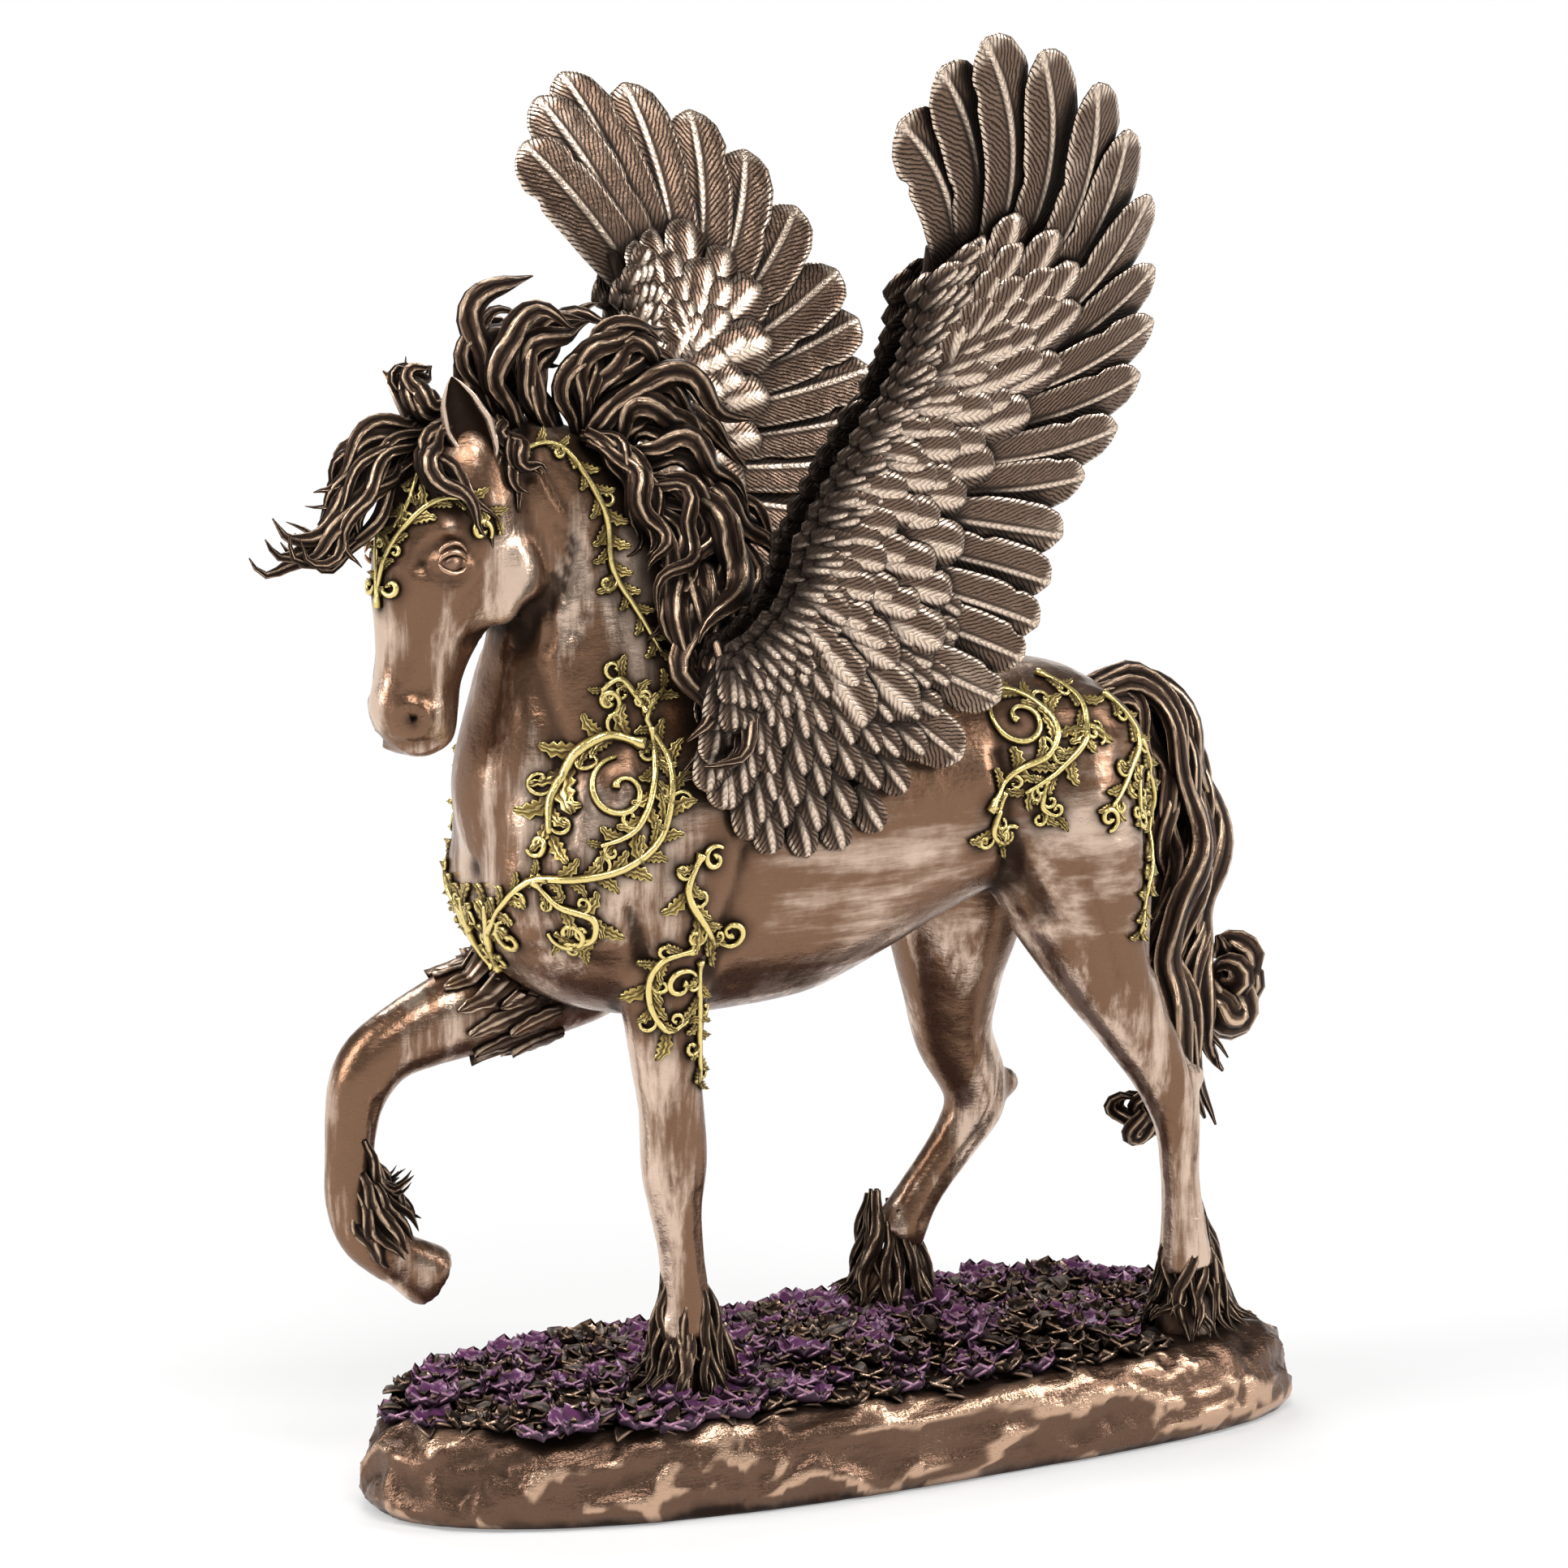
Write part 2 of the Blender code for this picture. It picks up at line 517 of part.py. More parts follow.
def wing_sheet(x, z, side, lift=0.0):
    """Point on the curved sheet of a wing: it leans outward more and more towards the tip."""
    foot = WING_FAN_FOOT
    above = max(z - foot, 0) / (TABLE_TOP - foot)
    below = min(z - foot, 0)
    spread = WING_ROOT_SPREAD / 2
    spread += (WING_TIP_SPREAD - WING_ROOT_SPREAD) / 2 * above * (0.35 + 0.65 * above)
    point = place(x, 0, foot + below)
    point.z += above * (WING_TIP_HEIGHT - point.z)
    point.y = side * (spread + lift)
    if side > 0:
        point.x -= FAR_WING_FORWARD * above
        point.z -= FAR_WING_DROP * above
    return point


def fan_line(share):
    """Root and tip of the fan line at a share of the way from the leading feather to the chest."""
    place_in_fan = share * (len(WING_FAN) - 1)
    index = min(int(place_in_fan), len(WING_FAN) - 2)
    part = place_in_fan - index
    return [a + (b - a) * part for a, b in zip(WING_FAN[index], WING_FAN[index + 1])]


def fan_place(share, reach, side):
    """Point x, z at a share of the length of a curved fan line, which is straighter on the far wing."""
    root_x, root_z, tip_x, tip_z, bow = fan_line(share)
    run = Vector((tip_x - root_x, tip_z - root_z))
    across = Vector((-run.y, run.x)).normalized()
    bend = FAR_WING_BEND if side > 0 else 1.0
    return Vector((root_x, root_z)) + run * reach + across * bow * bend * 4 * reach * (1 - reach)


def covert_reach(share):
    """Share of a fan line that the longest coverts cover, at a share of the way round the fan."""
    for (before, low), (after, high) in zip(COVERT_REACH, COVERT_REACH[1:]):
        if share <= after:
            return low + (high - low) * (share - before) / (after - before)
    return COVERT_REACH[-1][1]


def feather(work, side, root, tip, width, lift, tilt=0.0, bow=0.0):
    """One feather: a thin blade, widest past its middle, with a blunt tip and one edge raised."""
    profile = ((0.0, 0.35), (0.2, 0.62), (0.45, 0.88), (0.68, 1.0), (0.88, 0.94), (0.96, 0.7), (1.0, 0.3))
    along = Vector((tip[0] - root[0], tip[1] - root[1]))
    across = Vector((-along.y, along.x)).normalized()
    rings = []
    for share, size in profile:
        x = root[0] + along.x * share + across.x * bow * 4 * share * (1 - share)
        z = root[1] + along.y * share + across.y * bow * 4 * share * (1 - share)
        half = width / 2 * size
        centre = wing_sheet(x, z, side, lift)
        edge = wing_sheet(x + across.x * half / MM, z + across.y * half / MM, side, lift) - centre
        run = wing_sheet(x + along.x * 0.05, z + along.y * 0.05, side, lift) - centre
        normal = edge.cross(run).normalized()
        if normal.y * side < 0:
            normal = -normal
        edge += normal * tilt * half
        rings.append(oval(centre, edge, normal * FEATHER_THICKNESS / 2 * (0.5 + 0.5 * size), sides=8))
    loft(work, rings)


def wing(work, side):
    """One wing: the arm, the flight feathers, the rows of coverts on both faces, the scale feathers."""
    arm = [wing_sheet(x, z, side) for x, z in WING_ARM]
    last = len(arm) - 1
    rings = []
    for index, point in enumerate(arm):
        half = ARM_WIDTH / 2 * (0.7 + 0.6 * index / last)
        ahead = arm[min(index + 1, last)] - arm[max(index - 1, 0)]
        fore = ahead.cross(Vector((0, 1, 0))).normalized()
        rings.append(oval(point, fore * half, Vector((0, half * 0.8, 0)), sides=12))
    loft(work, rings)
    bend = FAR_WING_BEND if side > 0 else 1.0
    for step in range(FLIGHT_FEATHERS):
        share = FLIGHT_SHARE * (step / (FLIGHT_FEATHERS - 1)) ** 0.93
        root_x, root_z, tip_x, tip_z, bow = fan_line(share)
        width = FLIGHT_WIDTH * (1 - 0.2 * share)
        feather(work, side, (root_x, root_z), (tip_x, tip_z), width, 0, FEATHER_TILT, bow * bend)
    for face in (1, -1):
        for reach, count, size, level in COVERT_ROWS:
            for step in range(count):
                share = (step + 0.5 * (count % 2)) / count
                end = fan_place(share, reach * covert_reach(share), side)
                run = end - fan_place(share, reach * covert_reach(share) - 0.1, side)
                start = end - run.normalized() * COVERT_LENGTH / MM * size
                lift = face * FEATHER_THICKNESS * level * 0.75
                width = COVERT_WIDTH * (0.6 + 0.4 * size)
                feather(work, side, start, end, width, lift, face * FEATHER_TILT)
    for reach, count, level in SCALE_ROWS:
        for step in range(count):
            share = SCALE_SHARE + (1 - SCALE_SHARE) * (step + 0.5 * (count % 2)) / (count - 1)
            end = fan_place(min(share, 1), reach, side)
            run = end - fan_place(min(share, 1), reach - 0.1, side)
            start = end - run.normalized() * SCALE_LENGTH / MM
            feather(work, side, start, end, SCALE_WIDTH, FEATHER_THICKNESS * level * 0.6, FEATHER_TILT)
    ball(work, place(-8, side * 19, 150), (24 * MM, 10 * MM, 18 * MM), detail=3)


def plinth_point(angle, scale):
    """Point of the plinth's outline: blunt behind the horse, rounder in front of it."""
    c, s = math.cos(angle), math.sin(angle)
    power = 2 / (4.0 if c > 0 else 2.2)
    x = PLINTH_CENTRE[0] + PLINTH_LENGTH / 2 * scale * math.copysign(abs(c) ** power, c)
    y = PLINTH_CENTRE[1] + PLINTH_WIDTH / 2 * scale * math.copysign(abs(s) ** power, s)
    return Vector((x, y, 0))


def plinth(work):
    """Rocky plinth: it runs on below z = 0, where the finished casting is cut flat."""
    levels = ((-0.3, 0.99, 0.5), (0.0, 0.99, 0.5), (0.25, 1.0, 1.0), (0.5, 0.985, 1.3), (0.72, 0.97, 1.2),
              (0.84, 0.94, 0.8), (0.92, 0.88, 0.3), (0.97, 0.7, 0.0), (1.0, 0.4, 0.0))
    rings = []
    for height, scale, rough in levels:
        ring = []
        for step in range(120):
            angle = math.tau * step / 120
            point = plinth_point(angle, scale)
            point.z = PLINTH_HEIGHT * height + (GROUND_SWELL * (1 - scale ** 2) if height > 0.9 else 0)
            bump = noise.noise(Vector((point.x * 70, point.y * 70, height * 1.5)))
            bump += 0.5 * noise.noise(Vector((point.x * 190, point.y * 190, height * 4)))
            outward = Vector((point.x - PLINTH_CENTRE[0], point.y - PLINTH_CENTRE[1], 0)).normalized()
            ring.append(point + outward * bump * RIM_ROUGHNESS * rough)
        rings.append(ring)
    loft(work, rings)


def flowers(work):
    """Five-petalled flowers crowded over the ground, with leaves between them."""
    chance = random.Random(FLOWER_SEED)
    rows = int(PLINTH_WIDTH / FLOWER_SPACING) + 1
    columns = int(PLINTH_LENGTH / FLOWER_SPACING) + 1
    feet = [place(x, y, 18) for x, y in ((-31.5, -11.5), (83, -19.3), (34.5, 22))]
    for row in range(rows + 1):
        for column in range(columns + 1):
            shift = 0.5 * (row % 2)
            x = PLINTH_CENTRE[0] + (column + shift - columns / 2) * FLOWER_SPACING
            y = PLINTH_CENTRE[1] + (row - rows / 2) * FLOWER_SPACING * 0.9
            x += chance.uniform(-1, 1) * FLOWER_SPACING * 0.18
            y += chance.uniform(-1, 1) * FLOWER_SPACING * 0.18
            turn = chance.uniform(0, math.tau)
            lift = chance.uniform(-0.6, 1.2) * MM
            size = FLOWER_WIDTH * chance.uniform(0.85, 1.1)
            spot = Vector((x - PLINTH_CENTRE[0], y - PLINTH_CENTRE[1]))
            u = abs(spot.x) / (PLINTH_LENGTH / 2 * 0.9)
            v = abs(spot.y) / (PLINTH_WIDTH / 2 * 0.86)
            if u ** 3 + v ** 2.4 > 1:
                continue
            if any((Vector((x, y)) - foot.xy).length < HOOF_WIDTH * 0.75 for foot in feet):
                continue
            edge = max(u, v) ** 4
            swell = GROUND_SWELL * (1 - max(u, v) ** 2)
            centre = Vector((x, y, PLINTH_HEIGHT + swell + lift + 0.8 * MM - RIM_DROP * 0.4 * edge))
            petal = size * 0.21
            for step in range(5):
                angle = turn + math.tau * step / 5
                offset = Vector((math.cos(angle), math.sin(angle), 0)) * size * 0.31
                ball(work, centre + offset, (petal, petal, PETAL_RISE), detail=1)


def curl(tree, x, y, z, radius, turns, start, turn=None):
    """Points of a spiral on the skin, from its middle outwards."""
    middle = place(x, y, z)
    middle, normal, _, _ = tree.find_nearest(turn(middle) if turn else middle)
    side = normal.cross(Vector((0, 0, 1))).normalized()
    up = side.cross(normal)
    steps = int(14 * abs(turns))
    path = []
    for step in range(steps + 1):
        share = step / steps
        angle = math.radians(start) + math.tau * turns * share
        reach = radius * MM * (0.2 + 0.8 * share)
        path.append(middle + (side * math.cos(angle) + up * math.sin(angle)) * reach)
    return path


def relief(work, skin):
    """Raised scrolls: stems and curls laid on the skin, on both sides of the horse."""
    tree = BVHTree.FromPolygons([v.co for v in skin.vertices], [p.vertices for p in skin.polygons])
    data = bpy.data.curves.new("relief", "CURVE")
    data.dimensions = "3D"
    data.bevel_depth = SCROLL_WIDTH / 2
    data.bevel_resolution = 1
    data.use_fill_caps = True
    lines = []
    for side in (1, -1):
        groups = [(BODY_STEMS, BODY_CURLS, None), (HEAD_STEMS, HEAD_CURLS, turn_head)]
        if side == 1:
            groups.append((NEAR_LEG_STEMS, NEAR_LEG_CURLS, None))
        for stems, curls, turn in groups:
            for share, *points in stems:
                path = smooth_path([place(x, y * side, z) for x, y, z in points])
                lines.append((share, [turn(point) for point in path] if turn else path))
            for x, y, z, radius, turns, start in curls:
                start = start if side == 1 else 180 - start
                lines.append((0.85, curl(tree, x, y * side, z, radius, turns * side, start, turn)))
    for share, path in lines:
        spline = data.splines.new("POLY")
        spline.points.add(len(path) - 1)
        for index, point in enumerate(path):
            spot, normal, _, _ = tree.find_nearest(point)
            spot = spot + normal * (SCROLL_HEIGHT - SCROLL_WIDTH / 2)
            spline.points[index].co = (*spot, 1)
            spline.points[index].radius = share * (0.6 + 0.4 * math.sin(math.pi * index / (len(path) - 1)))
    add_curve(work, data)


def largest_body(work):
    """Keep the biggest connected body and drop loose crumbs and inner bubbles."""
    left = set(work.verts)
    best = set()
    while left:
        seed = left.pop()
        body = {seed}
        edge = [seed]
        while edge:
            vert = edge.pop()
            for link in vert.link_edges:
                other = link.other_vert(vert)
                if other in left:
                    left.discard(other)
                    body.add(other)
                    edge.append(other)
        if len(body) > len(best):
            best = body
    loose = [vert for vert in work.verts if vert not in best]
    bmesh.ops.delete(work, geom=loose, context="VERTS")


def cut_underside(work):
    """Cut the casting flat at z = 0 and close the cut."""
    geometry = list(work.verts) + list(work.edges) + list(work.faces)
    bmesh.ops.bisect_plane(work, geom=geometry, plane_co=(0, 0, 0), plane_no=(0, 0, -1), clear_outer=True)
    rim = [edge for edge in work.edges if edge.is_boundary]
    bmesh.ops.contextual_create(work, geom=rim)
    bmesh.ops.triangulate(work, faces=[face for face in work.faces if len(face.verts) > 3])


def fans_at(vert):
    """Groups of the faces round a corner that are joined by edges at that corner."""
    left = set(vert.link_faces)
    fans = []
    while left:
        seed = left.pop()
        fan = [seed]
        reach = [seed]
        while reach:
            face = reach.pop()
            for edge in face.edges:
                if vert in edge.verts:
                    for other in edge.link_faces:
                        if other in left:
                            left.discard(other)
                            fan.append(other)
                            reach.append(other)
        fans.append(fan)
    return fans


def part_touching(work):
    """Part the places where the thinned skin only touches itself, along an edge or at a corner.

    The mesh holds one edge for each pair of corners, so a touching edge has more than two faces.
    """
    crowded = [edge for edge in work.edges if len(edge.link_faces) > 2]
    while crowded:
        bmesh.ops.collapse(work, edges=crowded)
        crowded = [edge for edge in work.edges if len(edge.link_faces) > 2]
    for vert in list(work.verts):
        for fan in sorted(fans_at(vert), key=len)[:-1]:
            around = {corner for face in fan for corner in face.verts if corner is not vert}
            middle = sum((corner.co for corner in around), Vector()) / len(around)
            twin = work.verts.new(vert.co.lerp(middle, 0.3))
            for face in fan:
                work.faces.new([twin if corner is vert else corner for corner in face.verts])
            bmesh.ops.delete(work, geom=fan, context="FACES")


def untangle(work):
    """Relax the few corners where the thinned skin crosses itself."""
    for _ in range(12):
        work.faces.ensure_lookup_table()
        tree = BVHTree.FromBMesh(work)
        crossed = set()
        for first, second in tree.overlap(tree):
            if first < second:
                one, two = set(work.faces[first].verts), set(work.faces[second].verts)
                if not one & two:
                    crossed |= one | two
        if not crossed:
            return
        crossed |= {edge.other_vert(vert) for vert in crossed for edge in vert.link_edges}
        bmesh.ops.smooth_vert(work, verts=sorted(crossed, key=lambda vert: vert.index), factor=0.4,
                              use_axis_x=True, use_axis_y=True, use_axis_z=True)


def casting(mesh):
    """Thin the fused skin to the casting's triangles, keep one body and cut its underside."""
    item = bpy.data.objects.new("thinning", mesh)
    bpy.context.scene.collection.objects.link(item)
    count = sum(len(face.vertices) - 2 for face in mesh.polygons)
    thin = item.modifiers.new("thin", "DECIMATE")
    thin.ratio = min(CAST_TRIANGLES / count, 1)
    made = evaluated(item)
    bpy.data.objects.remove(item, do_unlink=True)
    work = bmesh.new()
    work.from_mesh(made)
    largest_body(work)
    work.verts.index_update()
    untangle(work)
    cut_underside(work)
    cut = finished_mesh("cut", work)
    work = bmesh.new()
    work.from_mesh(cut)
    part_touching(work)
    bmesh.ops.recalc_face_normals(work, faces=work.faces)
    return finished_mesh("pegasus_figurine", work)


def main():
    """Build the figurine."""
    clear_scene()
    home = new_collection("pegasus_figurine")
    work = bmesh.new()
    horse_skin(work)
    skin = remeshed("skin", finished_mesh("skin", work), SKIN_VOXEL, 4)
    work = bmesh.new()
    work.from_mesh(skin)
    hair(work)
    tufts(work)
    for side in (-1, 1):
        wing(work, side)
    relief(work, skin)
    plinth(work)
    flowers(work)
    fused = remeshed("cast", finished_mesh("cast", work), CAST_VOXEL, 2)
    body = bpy.data.objects.new("pegasus_figurine", casting(fused))
    body.data.materials.append(bronze())
    home.objects.link(body)
    body.data.shade_smooth()
    body.data.set_sharp_from_angle(angle=math.radians(40))


main()
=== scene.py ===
"""Looks of the pegasus figurine: a bronze horse with feathered wings on a flowered rocky plinth.

Every piece is a numpy surface in the row frame: +Z up, the horse faces -X, its near side is -Y.
The tables are in millimetres, and MM turns them into metres.
"""

import logging
import math
from dataclasses import dataclass
from enum import Enum

import bpy
import numpy as np
from bpy.types import Material, Mesh, Node, NodeSocket, NodeTree, Object
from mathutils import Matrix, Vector


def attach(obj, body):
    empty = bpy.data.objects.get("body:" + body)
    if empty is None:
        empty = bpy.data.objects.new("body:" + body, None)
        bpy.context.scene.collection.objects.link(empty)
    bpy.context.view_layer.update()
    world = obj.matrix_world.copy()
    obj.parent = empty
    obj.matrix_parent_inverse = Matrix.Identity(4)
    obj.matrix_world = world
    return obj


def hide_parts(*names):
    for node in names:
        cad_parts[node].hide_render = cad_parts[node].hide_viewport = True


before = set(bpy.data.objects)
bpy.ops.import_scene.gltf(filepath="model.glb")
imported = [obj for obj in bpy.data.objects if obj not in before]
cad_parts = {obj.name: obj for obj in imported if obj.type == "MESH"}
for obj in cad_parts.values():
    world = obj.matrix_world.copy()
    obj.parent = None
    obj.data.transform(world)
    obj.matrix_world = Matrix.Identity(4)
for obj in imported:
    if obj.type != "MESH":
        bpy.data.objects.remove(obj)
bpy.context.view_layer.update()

LOG = logging.getLogger("figurine")
MM = 0.001
NODE = "pegasus_figurine"
Array = np.ndarray

# Heights of the wing sheet and of the ground, in millimetres
GROUND = 18.0
FAN_FOOT = 140.0
FAN_TOP = 280.0
# Depth of the undersides of laid leaves, in millimetres
LEAF_SINK = 0.4

# Barrel stations: x, lowest z, highest z, share of the half width
BARREL = (
    (-68, 117, 134, 0.26), (-64, 106, 149, 0.58), (-51, 97, 158, 0.86), (-35, 93, 163, 0.97),
    (-15, 92.5, 163, 0.99), (5, 95, 160, 1.0), (25, 104, 157, 0.98), (45, 113, 157, 0.99),
    (60, 114, 156, 0.92), (71, 122, 150, 0.68), (77, 130, 143, 0.30),
)
# Neck stations: throat x, z, crest x, z, share of the half width
NECK = (
    (-66, 118, 0, 158, 0.98), (-71, 138, -10, 176, 0.86), (-67, 155, -24, 193, 0.70),
    (-64, 165, -37, 203, 0.60), (-62, 173, -49, 208, 0.52), (-63, 178, -58, 210, 0.50),
)
# Head stations: forehead and nose x, z, jaw x, z, share of the half width
HEAD = (
    (-72, 213, -60, 205, 0.60), (-81, 204, -57, 196, 0.88), (-88, 191, -57, 185, 1.0),
    (-90.5, 181, -60, 176, 0.92), (-90.5, 173, -68, 169, 0.68), (-90.5, 164, -73, 161, 0.57),
    (-92, 157, -74, 154.5, 0.60), (-89, 151, -75.5, 149.5, 0.52), (-85, 147.5, -80, 147.5, 0.25),
)
# Painted highlights and painted shade: places made brighter or darker on the skin, x, y, z, reach, gain
PAINTED_LIGHT_SPOTS = (
    (-47, 0, 178, 15, 0.55), (-60, 0, 150, 9, -0.3), (-86, 0, 170, 9, 0.4), (-52, 0, 133, 12, 0.35),
    (0, 0, 118, 22, 0.3), (60, 0, 128, 15, 0.4), (-20, 0, 102, 14, -0.2), (38, 0, 108, 12, 0.25),
    (-68, 0, 180, 8, 0.35), (-74, 0, 200, 7, -0.5), (-36, 0, 88, 8, 0.25), (-33, 0, 56, 8, 0.2),
    (-84, 0, 76, 8, 0.3), (80, 0, 56, 9, 0.2), (66, 0, 88, 8, 0.25), (-74, 0, 45, 6, 0.7),
    (-83, 0, 56, 6, -0.2),
)
# Grooves of the skin: on the head or not, width, depth (below zero for a ridge), least and most of
# the distance from the middle plane, then points x, z seen from the side
CREASES = (
    (True, 0.8, 0.6, 2.5, 20, (-90, 150.6), (-86, 150.4), (-82, 150.8)),
    (True, 1.5, 1.1, 4, 20, (-59, 199), (-55.6, 190), (-58, 179), (-66, 171), (-75, 169)),
    (True, 2.0, -0.6, 4, 20, (-78, 183), (-83, 174), (-87, 163)),
    (True, 1.0, 0.7, 6, 20, (-77.5, 182.6), (-80.5, 181.0), (-84.5, 182.0), (-86.1, 184)),
    (True, 1.1, 0.9, 6, 20, (-76.6, 184.5), (-80.5, 187.8), (-84.9, 187.0), (-86.5, 184)),
    (True, 2.4, 0.4, 3, 20, (-84, 178), (-86, 170), (-86, 162)),
    (False, 2.4, 1.3, 6, 40, (-62, 174), (-60, 160), (-58, 146), (-60, 132)),
    (False, 2.6, 0.8, 8, 40, (-46, 188), (-44, 172), (-46, 156), (-52, 140)),
    (False, 2.0, 1.0, 12, 40, (-24, 128), (-27, 116), (-30, 104)),
    (False, 1.6, 1.1, 8, 40, (-48, 118), (-44, 108), (-42, 100)),
    (False, 2.2, 1.5, 10, 40, (34, 142), (35, 130), (38, 119), (44, 108)),
    (False, 3.0, 0.7, 4, 40, (-22, 101), (6, 99), (32, 108)),
    (False, 1.6, 1.0, 10, 40, (70, 134), (68, 120), (67, 108), (71, 96)),
    (False, 1.4, 0.8, 8, 40, (50, 118), (56, 106), (60, 96)),
    (False, 0.7, 0.6, 8, 24, (-31.6, 76), (-29.8, 60), (-27.9, 46), (-26.8, 38)),
    (False, 0.6, 0.5, 8, 24, (-35.6, 84), (-36.4, 76), (-37, 68), (-35.8, 62)),
    (False, 0.7, 0.6, 12, 30, (78.4, 82), (80.2, 72), (81.2, 62), (83, 44)),
    (False, 0.7, 0.6, 12, 30, (60.4, 70), (58.4, 60), (50, 49), (43, 38)),
    (False, 0.7, 0.6, 12, 26, (-82.4, 78), (-82.8, 68), (-83, 60)),
)
# Round pits: x, y, z, width, depth, and whether on the head: the nostrils and two dimples of the chest
PITS = (((-88.6, 7.0, 155.0), 2.3, 4.0, True), ((-69, 0, 124), 2.4, 1.2, False), ((-66, 0, 112), 2.4, 1.2, False))
# Brow and nostril forms, mirrored on the head: place and half sizes
FACE_FORMS = (
    ((-81.5, 9.6, 185.5), (3.2, 2.2, 2.4)), ((-79.5, 9.2, 190.5), (5.0, 2.4, 2.2)),
    ((-87, 6.0, 155.5), (3.2, 2.2, 3.4)), ((-84, 3.2, 149.5), (4.0, 2.4, 1.8)),
)
HEAD_TURN = math.radians(12)
POLL = (-60.0, 0.0, 205.0)
# Limb stations: x, y, z, half width seen from the side
NEAR_FORELEG = (
    (-36, -13, 140, 15), (-35.5, -16, 128, 13.5), (-35.5, -18, 117, 11.6), (-36.4, -17.5, 108, 10.0),
    (-36.0, -16.5, 98, 8.6), (-35.3, -16, 88, 7.4), (-34.0, -15.5, 78, 6.6), (-33.2, -15, 70, 6.7),
    (-32.8, -14.5, 64, 6.6), (-32.2, -14, 57, 5.4), (-30.8, -13.5, 48, 4.6), (-29.6, -13, 38, 5.0),
    (-30.2, -12.5, 31, 6.3),
)
FAR_FORELEG = (
    (-30, 11, 118, 15), (-33, 13, 105, 13), (-47, 15.5, 97, 11), (-63.8, 17, 92.6, 8.9),
    (-77, 18, 87.6, 7.0), (-82.5, 18.5, 82.5, 6.7), (-85.2, 18.5, 75.4, 5.6), (-85.9, 18.5, 66, 5.0),
    (-85.8, 18.5, 58, 5.2), (-82.8, 18.5, 51.6, 5.8), (-77, 18.5, 46.4, 5.8),
)
NEAR_HINDLEG = (
    (54, -13, 142, 17), (53, -15.5, 128, 18.4), (57, -17.5, 112, 16.2), (61.3, -19.5, 98, 11.6),
    (67.2, -21, 86, 8.0), (73.6, -21.5, 76, 6.6), (77.4, -21.5, 69, 6.1), (79.4, -21.5, 61, 4.8),
    (80.4, -21, 51, 4.2), (81.7, -20.5, 41, 4.8), (82.8, -20, 32, 6.4),
)
FAR_HINDLEG = (
    (53, 11, 130, 18), (48.5, 13, 112, 16.8), (48.2, 14.5, 99, 14), (49, 16.5, 88, 10.8),
    (51.2, 19, 76.6, 8.5), (56.4, 20, 66.5, 7.2), (57.2, 20.5, 60.5, 6.6), (52.4, 21, 53, 5.2),
    (44.0, 21, 43, 4.9), (38.8, 21.5, 34.5, 6.2),
)
# Points of the hocks: x, y, z, radius
HOCK_POINTS = ((82.5, -21.5, 71.5, 3.2), (64.5, 20.5, 64.5, 3.4))
# Hooves: top centre, then the direction down the hoof
HOOVES = (
    ((-30.6, -11.5, 24), (-0.12, 0, -1)), ((83.4, -19.3, 26), (-0.06, 0, -1)),
    ((36.2, 22, 28), (-0.22, 0, -1)), ((-77.0, 18.5, 46.0), (0.84, 0, -0.54)),
)
# Middles of the standing hooves on the ground, x and y
HOOF_PRINTS = ((-31.5, -11.5), (83, -19.3), (34.5, 22))
# Fetlocks of the standing feet: x, y, size
FETLOCKS = ((-30.2, -12, 1.0), (83.2, -19.5, 1.0), (36.5, 21.8, 1.05))
# Muscle forms: x, y, z, and their half sizes along the three axes
MUSCLES = (
    (-46, -17, 128, 17, 10, 22), (-46, 16, 128, 17, 10, 22), (-38, -21, 118, 10, 7, 12),
    (58, -15, 132, 17, 13, 21), (58, 14, 132, 17, 13, 21), (-60, -9, 122, 8, 9, 14),
    (-60, 9, 122, 8, 9, 14), (-66, -9, 181, 9, 5.4, 10.5), (-66, 9, 181, 9, 5.4, 10.5),
)
